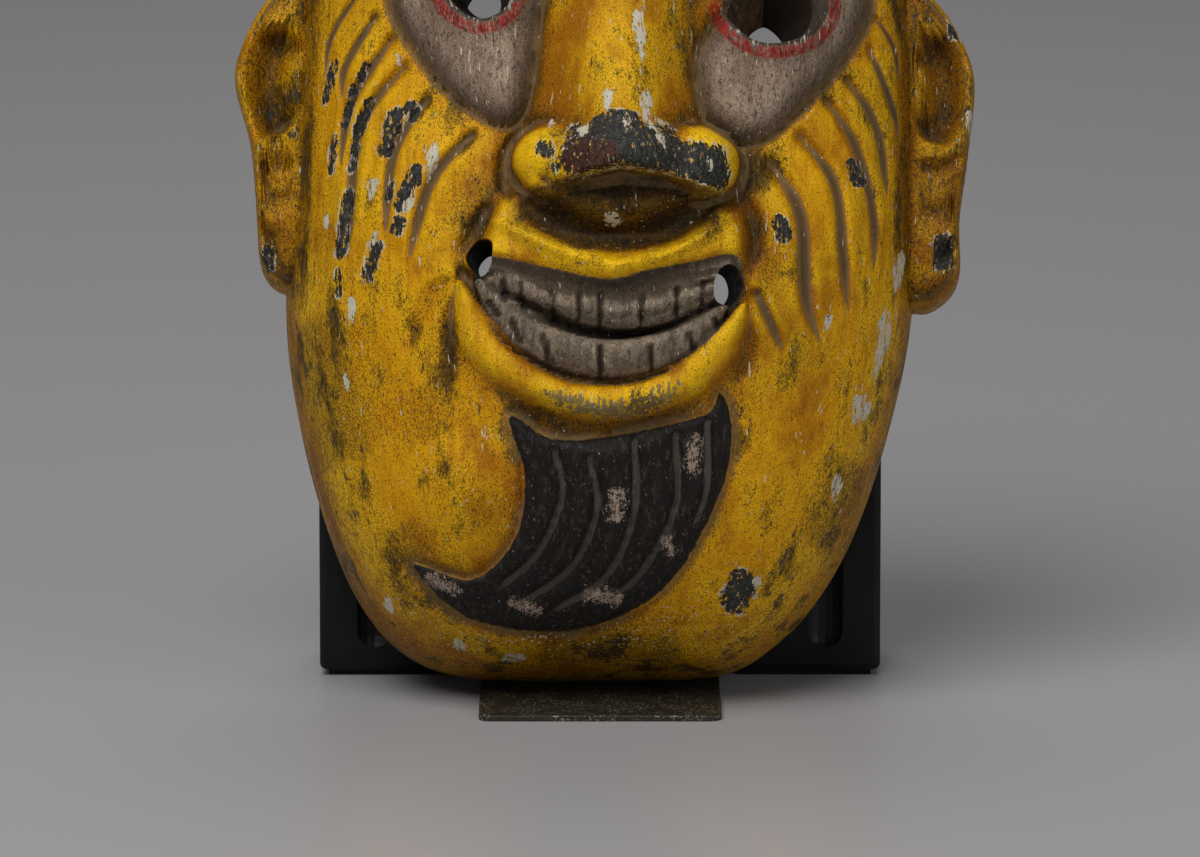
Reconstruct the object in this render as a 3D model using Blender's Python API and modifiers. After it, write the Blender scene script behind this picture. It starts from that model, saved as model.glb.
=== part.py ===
"""A carved wooden dance mask, hollow behind, leaning back on a block with its chin on a steel plate.

The object's frame is in metres, +Z up, with the origin under the middle of the foot plate and the
face turned to -Y. The carving is laid out in carving units: x across, z up the mask and depth out
of its flat back. There are 330 of them to the mask's height, so they are millimetres at real size.
"""

import math

import bmesh
import bpy
import numpy as np
from mathutils import Vector

# Driving sizes, in metres and degrees
MASK_HEIGHT = 0.330
WALL = 0.011
FRONT_WALL = 0.014
LEAN = math.radians(15)
REST_GAP = 0.0003
PLATE_WIDTH = 0.078
PLATE_DEPTH = 0.119
PLATE_THICKNESS = 0.002
PLATE_CORNER = 0.004
PLATE_EDGE = 0.0004
CHIN_SETBACK = 0.048
BLOCK_WIDTH = 0.184
BLOCK_HEIGHT = 0.096
BLOCK_DEPTH = 0.045
BLOCK_EDGE = 0.002
BASE_HEIGHT = 0.002
BASE_INSET = 0.003
SLOT_SIDE_CLEARANCE = 0.0065
SLOT_TOP_CLEARANCE = 0.0012
FLUTE_RADIUS = 0.0085
FLUTE_CUT = 0.0022
FLUTE_MARGIN = 0.018
FLUTE_FOOT = 0.007
EAR_DEPTH = 0.030
HOLE_MARGIN = 0.020
MASK_TRIANGLES = 6400

CARVING_UNIT = MASK_HEIGHT / 330
CENTRE = (0, 140)
DOME_DEPTH = 79
DOME_ROUNDNESS = 2.4
CARVED_CELLS = (140, 200)
EAR_CELLS = (10, 16)

FACE_RIM = [
    (0, 1.2), (38, 2.6), (57, 12.5), (72, 29), (84, 51.5), (94, 82), (101.5, 118), (104, 170),
    (102.5, 220), (95, 262), (76, 300), (42, 324), (0, 330), (-40, 324), (-73, 300), (-91, 262),
    (-98, 220), (-100.5, 170), (-102.4, 120), (-98, 85), (-89, 51), (-77.5, 25), (-62, 8.5), (-40, 1.8),
]
EYES = {
    "left": {
        "bulge": [(-68, 219), (-63, 205), (-50, 187), (-33, 174.5), (-24, 180), (-20, 205), (-20, 222), (-38, 243),
                  (-62, 235)],
        "hole": [(-50, 218), (-44, 210), (-36, 208), (-29, 213), (-30, 222), (-42, 226)],
        "slant": (0.30, -0.30),
    },
    "right": {
        "bulge": [(41, 213), (31, 195), (34.5, 176), (47, 168.5), (62, 178), (82, 203), (87, 222), (70, 238),
                  (48, 229)],
        "hole": [(40, 211), (47, 202.5), (56, 200.5), (68, 205), (72, 217), (57, 227), (45, 220)],
        "slant": (-0.35, -0.35),
    },
}
MOUTH_CORNERS = {
    "left": {"hole": [(-44.5, 134), (-40, 138.5), (-34.5, 136), (-35, 129), (-39, 126), (-43, 129)],
             "slant": (0.25, -0.20)},
    "right": {"hole": [(36.5, 120), (40, 127.5), (44.5, 126), (45.5, 120), (41, 116)],
              "slant": (-0.35, -0.10)},
}
# Wrinkles of the cheeks: the places that each runs through, and its half width
CHEEK_LINES = [
    ([(-71, 213), (-82, 196), (-83, 184)], 1.9),
    ([(-65, 206), (-80, 184), (-84, 160)], 2.2),
    ([(-60, 197), (-76, 178), (-80, 154), (-81, 128)], 2.4),
    ([(-54, 185), (-66, 166), (-69, 136)], 2.4),
    ([(-39, 173), (-54, 156), (-62, 128)], 2.6),
    ([(86, 204), (95, 183), (96, 172)], 1.9),
    ([(78, 193), (89, 177), (93, 152)], 2.2),
    ([(71, 186), (82, 170), (88, 148), (88, 126)], 2.4),
    ([(62, 174), (75, 157), (78, 134), (80, 112)], 2.6),
    ([(53, 165), (64, 146), (66, 119), (72, 102)], 3.4),
]
BEARD = [
    (-29, 81), (-16, 74), (2, 74.5), (32.5, 81), (38, 88.5), (42, 78), (38, 56), (20, 27), (-9, 15), (-42, 18.5),
    (-60, 35.5), (-41, 30.3), (-27, 43), (-24, 62),
]
BEARD_LINES = [
    [(-15, 72), (-12, 56), (-20, 38), (-34, 26)],
    [(-4, 70), (-1, 52), (-9, 34), (-28, 21)],
    [(11, 75), (11, 51), (2, 31), (-16, 20)],
    [(24, 77), (24, 52), (13, 32), (4, 25)],
    [(34, 82), (34, 58), (30, 46)],
]
LEFT_EAR = {
    "rim": [(-94, 233), (-101, 230), (-110, 221), (-117, 207), (-119, 195), (-114, 176), (-112, 156), (-110, 134),
            (-101, 127), (-94, 134), (-93, 180)],
    "scoop": [(-103, 210), (-110, 200), (-110, 186), (-104, 178)],
    "panel": [(-112, 174), (-100, 174), (-100, 154), (-112, 156)],
    "lobe": [(-108, 148), (-105, 134)],
}
RIGHT_EAR = {
    "rim": [(97, 232), (106, 226), (115, 215), (122, 197), (120, 173), (117, 150), (117, 132), (112, 124), (104, 121),
            (97, 128), (98, 180)],
    "scoop": [(106, 208), (114, 198), (114, 184), (107, 176)],
    "panel": [(104, 166), (116, 166), (115, 148), (104, 147)],
    "lobe": [(112, 142), (110, 132)],
}


def curve(points, closed=False, steps=6):
    """Places along a smooth curve through the given ones."""
    p = np.array(points, float)
    out = []
    for i in range(len(p) if closed else len(p) - 1):
        b = p[i]
        c = p[(i + 1) % len(p)]
        a = p[i - 1] if closed or i else 2 * b - c
        d = p[(i + 2) % len(p)] if closed or i + 2 < len(p) else 2 * c - b
        for t in np.linspace(0, 1, steps, endpoint=False):
            bend = (2 * a - 5 * b + 4 * c - d) * t**2 + (3 * b - a - 3 * c + d) * t**3
            out.append(0.5 * (2 * b + (c - a) * t + bend))
    if not closed:
        out.append(p[-1])
    return np.array(out)


def rim_radius(rim, centre, bearing):
    """How far a closed outline is from its centre at each bearing."""
    ring = curve(rim, closed=True) - centre
    return np.interp(bearing, np.arctan2(ring[:, 1], ring[:, 0]), np.hypot(*ring.T), period=2 * math.pi)


def measure(x, z, line, reach):
    """Distance to a curve and the share of the way along it, for the places within reach of it."""
    gap = np.full(x.shape, 1e6)
    share = np.zeros(x.shape)
    near = ((x > line[:, 0].min() - reach) & (x < line[:, 0].max() + reach)
            & (z > line[:, 1].min() - reach) & (z < line[:, 1].max() + reach))
    px = x[near]
    pz = z[near]
    best = np.full(px.shape, 1e6)
    where = np.zeros(px.shape)
    start = 0.0
    for (ax, az), (bx, bz) in zip(line, line[1:]):
        run = math.hypot(bx - ax, bz - az)
        t = np.clip(((px - ax) * (bx - ax) + (pz - az) * (bz - az)) / run**2, 0, 1)
        away = np.hypot(px - ax - t * (bx - ax), pz - az - t * (bz - az))
        where = np.where(away < best, start + t * run, where)
        best = np.minimum(away, best)
        start += run
    gap[near] = best
    share[near] = where / start
    return gap, share


def inside(x, z, outline):
    """Distance inside a closed smooth outline, negative outside it."""
    ring = curve(outline, closed=True)
    loop = np.vstack([ring, ring[:1]])
    gap, _ = measure(x, z, loop, 60)
    odd = np.zeros(x.shape, bool)
    for (ax, az), (bx, bz) in zip(loop, loop[1:]):
        if az != bz:
            odd ^= ((az > z) != (bz > z)) & (x < ax + (z - az) * (bx - ax) / (bz - az))
    return np.where(odd, gap, -gap)


def ramp(value, low, high):
    """0 at low, 1 at high, and smooth between."""
    t = np.clip((value - low) / (high - low), 0, 1)
    return t * t * (3 - 2 * t)


def thinning(share, ends):
    """How wide a stroke still is, for strokes that thin toward their ends."""
    return np.clip(share / ends[0], 0, 1) ** 0.6 * np.clip((1 - share) / ends[1], 0, 1) ** 0.6


def stroke(x, z, points, half_width, ends=(0.25, 0.3)):
    """A soft-sided stroke along a curve: 1 on it and 0 at its half width."""
    gap, share = measure(x, z, curve(points), half_width)
    width = thinning(share, ends)
    u = np.clip(gap / np.maximum(half_width * width, 0.01), 0, 1)
    return (1 - u * u) ** 2 * width


def roll(x, z, points, half_width, ends=(0.12, 0.12)):
    """A roll along a curve, round in section, and the share of the way along it."""
    gap, share = measure(x, z, curve(points), half_width)
    u = np.clip(gap / np.maximum(half_width * thinning(share, ends), 0.01), 0, 1)
    return np.sqrt(1 - u * u), share


def swell(x, z, centre, radii, height):
    """A soft round rise."""
    return height * np.exp(-((x - centre[0]) / radii[0]) ** 2 - ((z - centre[1]) / radii[1]) ** 2)


def knob(x, z, centre, radii):
    """Half a ball: 1 in the middle and 0 at its edge."""
    u = ((x - centre[0]) / radii[0]) ** 2 + ((z - centre[1]) / radii[1]) ** 2
    return np.sqrt(np.clip(1 - u, 0, 1))


def joined(a, b, fillet):
    """The higher of two surfaces, with a fillet where they meet."""
    h = np.clip(0.5 + 0.5 * (a - b) / fillet, 0, 1)
    return b + (a - b) * h + fillet * h * (1 - h)


def raised(depth, ground, height, shape, fillet):
    """The surface with a rounded form standing on the ground level, where that is higher."""
    buried = 60 * (shape <= 0)
    return joined(depth, ground + height * shape - buried, fillet)


def teeth(share, count):
    """A row of teeth along a roll: 1 in the middle of each, 0 in the gap between two."""
    beat = np.abs(np.sin(math.pi * share * count))
    return 1 - (1 - np.clip(beat / 0.35, 0, 1)) ** 2


def rim_share(x, z, rim=FACE_RIM, centre=CENTRE):
    """0 at the centre of an outline and 1 on it."""
    bearing = np.arctan2(z - centre[1], x - centre[0])
    reach = np.hypot(x - centre[0], z - centre[1])
    return np.clip(reach / rim_radius(rim, centre, bearing), 0, 1)


def egg(x, z):
    """The egg of the face with its broad swells."""
    share = rim_share(x, z)
    depth = DOME_DEPTH * (1 - share**DOME_ROUNDNESS) ** (1 / DOME_ROUNDNESS)
    swells = (swell(x, z, (3, 112), (50, 34), 9) + swell(x, z, (-60, 152), (30, 30), 4)
              + swell(x, z, (64, 148), (30, 30), 4) + swell(x, z, (0, 48), (55, 32), 3)
              + swell(x, z, (2, 238), (75, 22), 5) + swell(x, z, (2, 268), (72, 36), 14))
    return depth + (1 - share**6) * swells


def carve_nose(x, z, depth, ground):
    """A broad ridge that rises to the tip, undercut below, with a rounded wing each side."""
    level = [138, 144, 150, 156, 161, 168, 186, 213, 232, 250]
    rise = np.interp(z, level, [0, 6, 17, 27, 30, 29.5, 25, 17, 11, 3])
    half = np.interp(z, level, [20, 22, 24, 26, 28, 30, 32, 31, 32, 36])
    u = np.clip(np.abs(x - 5.5) / half, 0, 1)
    depth = depth + rise * (0.5 + 0.5 * np.cos(math.pi * u)) ** 0.85
    depth = raised(depth, ground, 33, knob(x, z, (5.5, 161), (19, 15)), 5.0)
    for centre in ((-16.5, 158.5), (31.5, 158.5)):
        depth = raised(depth, ground, 22, knob(x, z, centre, (12.5, 11.5)), 3.0)
    depth -= 2.6 * stroke(x, z, [(-12, 172), (-21, 171), (-29, 165), (-30.5, 156), (-27, 148)], 4)
    depth -= 2.2 * stroke(x, z, [(27, 171), (36, 170), (43, 164), (45, 155), (42, 146)], 4)
    depth -= 5.0 * stroke(x, z, [(-18, 151), (-14, 154.5), (-9, 153)], 3.2)
    return depth - 5.0 * stroke(x, z, [(20, 152), (26, 154), (32, 151)], 3.4)


def carve_mouth(x, z, depth, ground):
    """The upper lip's mass, two rows of teeth with the gap between them, and the rolled lower lip."""
    muzzle = [(-30, 152), (-37, 138), (-38, 128), (-18, 113), (0, 109), (16, 109), (40, 120), (47, 140), (30, 156),
              (5, 158)]
    depth = depth + 6.5 * ramp(inside(x, z, muzzle), -2.5, 5.5) * ramp(z, 108, 122)
    depth -= 6.0 * stroke(x, z, [(-27, 149), (-12, 141), (4, 137), (20, 140), (38, 149)], 9.5)
    depth += 3.4 * stroke(x, z, [(-36, 148), (-18, 138.5), (5, 127.3), (28, 134), (43.5, 147)], 6)
    gum = [(-38, 131), (-19, 126.5), (2, 124.5), (29, 127), (44, 131), (44, 112), (5, 98), (-38, 114)]
    depth -= 2.6 * ramp(inside(x, z, gum), -1.5, 2.0)
    depth -= 1.8 * stroke(x, z, [(-34, 127), (-19, 121), (3, 117.2), (29, 121), (42, 126)], 4.0)
    row, share = roll(x, z, [(-36, 125.5), (-18, 115.5), (7, 112.2), (28, 116), (38, 122)], 6.2)
    depth += 1.9 * row * (0.72 + 0.28 * teeth(share, 7))
    gape = [(-44, 130), (-27, 115.5), (0, 108.2), (28, 112), (44, 124), (46, 114), (32, 94), (2, 86.5), (-28, 97),
            (-44.5, 119)]
    opening = ramp(inside(x, z, gape), -1.2, 2.8)
    depth = depth * (1 - opening) + opening * np.minimum(depth, ground - 4.5)
    depth -= 5.0 * stroke(x, z, [(-32, 121), (-6, 108.5), (19, 107.5), (37, 117.5)], 3.2)
    row, share = roll(x, z, [(-39, 124), (-25, 107.5), (0, 98.5), (25, 103), (40, 116)], 7.2)
    depth = raised(depth, ground - 5.0, 5.8, row * (0.80 + 0.20 * teeth(share, 7)), 1.2)
    lip, _ = roll(x, z, [(-45, 124), (-38, 103), (-17, 88), (5, 84.5), (26, 90.5), (41, 105.5), (46, 117)], 6.0)
    depth = raised(depth, ground - 2.0, 6.5, lip, 3.0)
    return depth - 2.6 * stroke(x, z, [(-36, 91), (-16, 79), (6, 76.5), (36, 87)], 8)


def carve_folds(x, z, depth):
    """Smile folds beside the mouth and the fan of wrinkles over each cheek."""
    folds = [
        ([(-31, 150), (-38, 143), (-47, 128)], 5, 3.0),
        ([(46, 152), (49, 142), (47, 124)], 5, 3.0),
        ([(-47, 126), (-55, 118), (-62, 100)], 5, 2.2),
        ([(-46, 122), (-48, 108), (-48, 84)], 4.5, 2.0),
        ([(50, 120), (54, 111), (58, 103)], 3.2, 2.4),
        ([(47, 112), (47, 100), (42, 90)], 5, 1.8),
    ]
    for points, half_width, cut in folds:
        depth = depth - cut * stroke(x, z, points, half_width)
    fade = 1 - rim_share(x, z) ** 8
    for points, half_width in CHEEK_LINES:
        depth = depth + fade * 1.1 * stroke(x, z, points, 2.6 * half_width)
        depth = depth - fade * 2.2 * stroke(x, z, points, half_width)
    return depth


def carve_eyes(x, z, depth):
    """Each eye bulges from a crease and has a raised rim round its hole."""
    for eye in EYES.values():
        depth_in = inside(x, z, eye["bulge"])
        bulge = np.sqrt(np.clip(1 - (1 - np.clip(depth_in / 15, 0, 1)) ** 2, 0, 1))
        depth = depth - 3.0 * ramp(depth_in, -3.5, 0.5) + 9.0 * bulge
        around = inside(x, z, eye["hole"])
        depth = depth + 1.4 * ramp(around, -6.5, -3.5)
    return depth


def carve_beard(x, z, depth):
    """A beard that sweeps to one side round a soft swelling, cut with long locks."""
    depth = depth + swell(x, z, (-43, 57), (15, 16), 4.5)
    within = inside(x, z, BEARD)
    depth -= 1.2 * ramp(within, -3.5, -0.5)
    depth += 3.4 * ramp(within, -0.9, 1.2)
    for points in BEARD_LINES:
        lock = stroke(x, z, points, 6) - 2.2 * stroke(x, z, points, 2.6)
        depth += 0.8 * lock * ramp(within, 0.3, 2)
    return depth


def carve_brows(x, z, depth):
    """Arched brows and two wrinkles of the forehead."""
    fade = 1 - rim_share(x, z) ** 8
    for side in (-1, 1):
        arch = [(side * 12 + 3, 238), (side * 40 + 3, 259), (side * 70 + 3, 250), (side * 90 + 3, 220)]
        depth = depth + 5.0 * fade * stroke(x, z, arch, 9)
    for level in (272, 285):
        wave = [(-44, level - 6), (-22, level), (2, level - 5), (26, level), (48, level - 6)]
        depth = depth - 1.8 * fade * stroke(x, z, wave, 3)
    return depth


def face_front(x, z):
    """Depth of the carved front of the face."""
    ground = egg(x, z)
    depth = carve_nose(x, z, ground, ground)
    depth = carve_mouth(x, z, depth, ground)
    depth = carve_folds(x, z, depth)
    depth = carve_eyes(x, z, depth)
    depth = carve_beard(x, z, depth)
    return np.maximum(carve_brows(x, z, depth), 0)


def ear_front(ear):
    """Depth of an ear's carved front, as a function of place."""
    height = EAR_DEPTH / CARVING_UNIT
    centre = np.mean(ear["rim"], axis=0)

    def front(x, z):
        share = rim_share(x, z, ear["rim"], centre)
        depth = height * (1 - share**5) ** 0.2
        depth = depth - 11 * stroke(x, z, ear["scoop"], 7.5, (0.1, 0.1))
        depth = depth + 1.5 * ramp(inside(x, z, ear["panel"]), -1.0, 1.0)
        return np.maximum(depth - 4 * stroke(x, z, ear["lobe"], 3.5, (0.2, 0.2)), 0)

    return front


def even_shares(roundness, reach, height, near):
    """Shares of an outline's radius that cut a dome's section into even runs, read at the given ones."""
    turn = np.linspace(0, math.pi / 2, 400)
    out = np.sin(turn) ** (2 / roundness)
    up = np.cos(turn) ** (2 / roundness)
    run = np.concatenate([[0], np.cumsum(np.hypot(np.diff(out) * reach, np.diff(up) * height))])
    return np.interp(near, run / run[-1], out)


def sheet_places(count_x, count_z, rim, centre, roundness, reach, height):
    """Places of a grid wrapped onto an outline, each with whether it is on the edge."""
    u, v = np.meshgrid(np.linspace(-1, 1, count_x + 1), np.linspace(-1, 1, count_z + 1))
    a = u * np.sqrt(1 - v**2 / 2)
    b = v * np.sqrt(1 - u**2 / 2)
    bearing = np.arctan2(b, a)
    radius = np.clip(np.hypot(a, b), 0, 1)
    share = even_shares(roundness, reach, height, radius)
    away = share * rim_radius(rim, centre, bearing)
    x = centre[0] + away * np.cos(bearing)
    z = centre[1] + away * np.sin(bearing)
    return x.ravel(), z.ravel(), radius.ravel() > 1 - 1e-9


def two_sheets(name, cells, front, back):
    """A closed body between two grids of places, joined round their edges."""
    mesh = bmesh.new()
    bmesh.ops.create_grid(mesh, x_segments=cells[0], y_segments=cells[1], size=1)
    made = bmesh.ops.extrude_face_region(mesh, geom=mesh.faces[:])
    lifted = [item for item in made["geom"] if isinstance(item, bmesh.types.BMVert)]
    upper = set(lifted)
    lower = [vertex for vertex in mesh.verts if vertex not in upper]
    for vertices, places in ((lifted, front), (lower, back)):
        for vertex in vertices:
            column = round((vertex.co.x + 1) / 2 * cells[0])
            row = round((vertex.co.y + 1) / 2 * cells[1])
            x, depth, z = places[row * (cells[0] + 1) + column]
            vertex.co = Vector((x, -depth, z)) * CARVING_UNIT
    bmesh.ops.recalc_face_normals(mesh, faces=mesh.faces[:])
    return finish_mesh(name, mesh)


def finish_mesh(name, mesh):
    """An object from a bmesh, with its round faces shaded smooth."""
    data = bpy.data.meshes.new(name)
    mesh.to_mesh(data)
    mesh.free()
    data.shade_smooth()
    data.set_sharp_from_angle(angle=math.radians(50))
    return bpy.data.objects.new(name, data)


def inset(rim, centre, by):
    """An outline drawn in toward its centre by a width."""
    ring = curve(rim, closed=True, steps=3) - centre
    reach = np.hypot(*ring.T)
    return [tuple(place) for place in centre + ring * ((reach - by) / reach)[:, None]]


def mask_shell():
    """The face between its carved front and a smooth hollow."""
    x, z, edge = sheet_places(*CARVED_CELLS, FACE_RIM, CENTRE, DOME_ROUNDNESS, 104, DOME_DEPTH)
    depth = np.where(edge, 0, face_front(x, z))
    front = list(zip(x, depth, z))
    inner_rim = inset(FACE_RIM, CENTRE, WALL / CARVING_UNIT)
    inner_depth = DOME_DEPTH - FRONT_WALL / CARVING_UNIT
    x, z, edge = sheet_places(*CARVED_CELLS, inner_rim, CENTRE, DOME_ROUNDNESS, 93, inner_depth)
    share = rim_share(x, z, inner_rim, CENTRE)
    depth = inner_depth * (1 - share**DOME_ROUNDNESS) ** (1 / DOME_ROUNDNESS)
    back = list(zip(x, np.where(edge, 0, depth), z))
    return two_sheets("mask", CARVED_CELLS, front, back)


def ear_body(name, ear):
    """An ear with a flat back, which a union joins to the face's wall."""
    centre = tuple(np.mean(ear["rim"], axis=0))
    x, z, edge = sheet_places(*EAR_CELLS, ear["rim"], centre, 5, 30, EAR_DEPTH / CARVING_UNIT)
    back_level = 3.0
    depth = np.where(edge, back_level, np.maximum(ear_front(ear)(x, z), back_level + 1))
    front = list(zip(x, depth, z))
    inner_x = centre[0] + 0.9 * (x - centre[0])
    inner_z = centre[1] + 0.9 * (z - centre[1])
    back = list(zip(inner_x, np.full(x.shape, 1.5), inner_z))
    return two_sheets(name, EAR_CELLS, front, back)


def tunnel(name, hole, slant):
    """A cutter through the face's wall that drifts sideways as it goes in."""
    ring = curve(hole, closed=True, steps=4)
    centre = ring.mean(axis=0)
    outer_depth = float(egg(np.array([centre[0]]), np.array([centre[1]]))[0])
    margin = HOLE_MARGIN / CARVING_UNIT
    near = outer_depth + margin
    far = outer_depth - margin - FRONT_WALL / CARVING_UNIT
    mesh = bmesh.new()
    sections = []
    for level in (far, near):
        drift = (outer_depth - level) * np.array(slant)
        section = [mesh.verts.new(Vector((x, -level, z)) * CARVING_UNIT) for x, z in ring + drift]
        sections.append(section)
        mesh.faces.new(section)
    count = len(ring)
    for i in range(count):
        j = (i + 1) % count
        mesh.faces.new([sections[0][i], sections[0][j], sections[1][j], sections[1][i]])
    bmesh.ops.recalc_face_normals(mesh, faces=mesh.faces[:])
    return finish_mesh(name, mesh)


def box(name, low, high, bevel=0.0, segments=3):
    """A box between two corners, its edges rounded."""
    mesh = bmesh.new()
    bmesh.ops.create_cube(mesh, size=1)
    low = Vector(low)
    high = Vector(high)
    for vertex in mesh.verts:
        vertex.co = Vector(lo if c < 0 else hi for c, lo, hi in zip(vertex.co, low, high))
    item = finish_mesh(name, mesh)
    if bevel:
        edge = item.modifiers.new("rounded edges", "BEVEL")
        edge.width = bevel
        edge.segments = segments
        edge.limit_method = "NONE"
    return item


def combine(target, tool, operation, solver="EXACT"):
    """Joins or cuts with another body."""
    change = target.modifiers.new(f"{operation.lower()} {tool.name}", "BOOLEAN")
    change.operation = operation
    change.solver = solver
    change.object = tool


def finish(name, colour, roughness, metallic=0.0):
    """A material for one sub-part."""
    material = bpy.data.materials.new(name)
    material.use_nodes = True
    shader = material.node_tree.nodes["Principled BSDF"]
    shader.inputs["Base Color"].default_value = (*colour, 1)
    shader.inputs["Roughness"].default_value = roughness
    shader.inputs["Metallic"].default_value = metallic
    return material


def guide(item, collection):
    """Keeps a cutter out of the model."""
    collection.objects.link(item)
    item.hide_render = True
    item.display_type = "WIRE"


def make_mask(pieces, guides):
    """The carved mask, placed where it leans."""
    holder = bpy.data.objects.new("mask_lean", None)
    holder.location = (0, CHIN_SETBACK - PLATE_DEPTH / 2, PLATE_THICKNESS + REST_GAP)
    holder.rotation_euler.x = -LEAN
    pieces.objects.link(holder)
    mask = mask_shell()
    mask.data.materials.append(finish("worn yellow paint", (0.52, 0.33, 0.04), 0.5))
    pieces.objects.link(mask)
    mask.parent = holder
    fewer = mask.modifiers.new("fewer faces", "DECIMATE")
    fewer.ratio = MASK_TRIANGLES / (2 * len(mask.data.polygons))
    for side, ear in (("left", LEFT_EAR), ("right", RIGHT_EAR)):
        body = ear_body(f"{side}_ear_shape", ear)
        guide(body, guides)
        body.parent = holder
        combine(mask, body, "UNION", "MANIFOLD")
    for kind, holes in (("eye", EYES), ("mouth", MOUTH_CORNERS)):
        for side, hole in holes.items():
            cutter = tunnel(f"{side}_{kind}_cutter", hole["hole"], hole["slant"])
            guide(cutter, guides)
            cutter.parent = holder
            combine(mask, cutter, "DIFFERENCE", "MANIFOLD")
    return mask


def block_front():
    """Where the block's front has to be for its rounded top edge to meet the leaning rim."""
    chin = CHIN_SETBACK - PLATE_DEPTH / 2
    rise = BLOCK_HEIGHT - BLOCK_EDGE - PLATE_THICKNESS - REST_GAP
    touch = chin + rise * math.tan(LEAN)
    return touch + (BLOCK_EDGE + REST_GAP) / math.cos(LEAN) - BLOCK_EDGE


def make_block(pieces, guides):
    """The block behind the mask, with a set-in base, a slot for the plate and a flute near each side."""
    front = block_front()
    back = front + BLOCK_DEPTH
    half = BLOCK_WIDTH / 2
    block = box("stand_back", (-half, front, BASE_HEIGHT), (half, back, BLOCK_HEIGHT), BLOCK_EDGE)
    block.data.materials.append(finish("black block", (0.012, 0.012, 0.013), 0.45))
    pieces.objects.link(block)
    foot = box("base_shape", (-half + BASE_INSET, front + BASE_INSET, 0),
               (half - BASE_INSET, back - BASE_INSET, BASE_HEIGHT + BLOCK_EDGE + BASE_HEIGHT))
    guide(foot, guides)
    combine(block, foot, "UNION")
    slot_half = PLATE_WIDTH / 2 + SLOT_SIDE_CLEARANCE
    slot_top = PLATE_THICKNESS + SLOT_TOP_CLEARANCE
    slot = box("slot_cutter", (-slot_half, front - BLOCK_DEPTH, -slot_top), (slot_half, back + BLOCK_DEPTH, slot_top))
    guide(slot, guides)
    combine(block, slot, "DIFFERENCE")
    for side in (-1, 1):
        middle = side * (half - FLUTE_MARGIN)
        low = (middle - FLUTE_RADIUS, front + FLUTE_CUT - 2 * FLUTE_RADIUS, FLUTE_FOOT)
        high = (middle + FLUTE_RADIUS, front + FLUTE_CUT, BLOCK_HEIGHT + 3 * FLUTE_RADIUS)
        flute = box(f"flute_cutter_{side}", low, high, FLUTE_RADIUS * 0.98, 6)
        guide(flute, guides)
        combine(block, flute, "DIFFERENCE")
    return block


def make_plate(pieces):
    """The steel plate under the chin, with round corners and softened edges."""
    half_x = PLATE_WIDTH / 2
    half_y = PLATE_DEPTH / 2
    plate = box("foot_plate", (-half_x, -half_y, 0), (half_x, half_y, PLATE_THICKNESS))
    plate.data.materials.append(finish("dark steel", (0.045, 0.042, 0.035), 0.5, 0.6))
    mesh = bmesh.new()
    mesh.from_mesh(plate.data)
    upright = [e for e in mesh.edges if abs(e.verts[0].co.z - e.verts[1].co.z) > PLATE_THICKNESS / 2]
    bmesh.ops.bevel(mesh, geom=upright, offset=PLATE_CORNER, segments=6, profile=0.5, affect="EDGES")
    mesh.to_mesh(plate.data)
    mesh.free()
    edge = plate.modifiers.new("softened edges", "BEVEL")
    edge.width = PLATE_EDGE
    edge.segments = 2
    edge.limit_method = "ANGLE"
    edge.angle_limit = math.radians(60)
    pieces.objects.link(plate)
    return plate


def main():
    for item in list(bpy.data.objects):
        bpy.data.objects.remove(item)
    pieces = bpy.data.collections.new("dance_mask")
    guides = bpy.data.collections.new("cutters")
    for collection in (pieces, guides):
        bpy.context.scene.collection.children.link(collection)
    make_mask(pieces, guides)
    make_block(pieces, guides)
    make_plate(pieces)


main()
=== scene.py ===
"""The looks of a carved wooden dance mask that leans back on its stand.

The carving is laid out in carving units: x across, z up the mask and depth out of its flat back.
There are 330 of them to the mask's height, so they are millimetres at real size.
"""

import math

import bmesh
import bpy
import numpy as np
from mathutils import Matrix, Vector


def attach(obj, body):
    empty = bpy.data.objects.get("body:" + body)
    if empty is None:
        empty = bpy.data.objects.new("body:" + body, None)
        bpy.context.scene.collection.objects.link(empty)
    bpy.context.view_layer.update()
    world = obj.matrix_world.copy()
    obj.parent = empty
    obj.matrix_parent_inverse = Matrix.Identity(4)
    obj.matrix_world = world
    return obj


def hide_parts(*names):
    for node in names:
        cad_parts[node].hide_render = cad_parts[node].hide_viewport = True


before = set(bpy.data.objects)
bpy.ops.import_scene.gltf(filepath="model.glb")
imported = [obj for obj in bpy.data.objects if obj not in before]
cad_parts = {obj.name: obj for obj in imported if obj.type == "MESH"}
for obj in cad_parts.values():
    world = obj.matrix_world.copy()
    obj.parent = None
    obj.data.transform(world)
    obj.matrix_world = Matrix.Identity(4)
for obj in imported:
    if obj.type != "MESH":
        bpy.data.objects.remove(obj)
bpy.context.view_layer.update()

# Sizes and places, in metres and degrees, as the solids have them
MASK_HEIGHT = 0.330
WALL = 0.011
FRONT_WALL = 0.014
LEAN = math.radians(15)
CHIN_Y = -0.0115
CHIN_Z = 0.0023
EAR_DEPTH = 0.030
HOLE_MARGIN = 0.020
CARVING_UNIT = MASK_HEIGHT / 330

# The face's dome and the ears, in carving units from here on, and the cells of each grid
CENTRE = (0, 140)
FACE_REACH = 104
DOME_DEPTH = 79
DOME_ROUNDNESS = 2.4
EAR_ROUNDNESS = 5
EAR_BACK = 1.5
CARVED_CELLS = (246, 342)
HOLLOW_CELLS = (60, 84)
EAR_CELLS = (50, 120)
# The grid of levels that tells where the carving lies hollow
LEVELS_START = (-130, -10)
LEVELS_END = (130, 340)
SEED = 7

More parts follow.
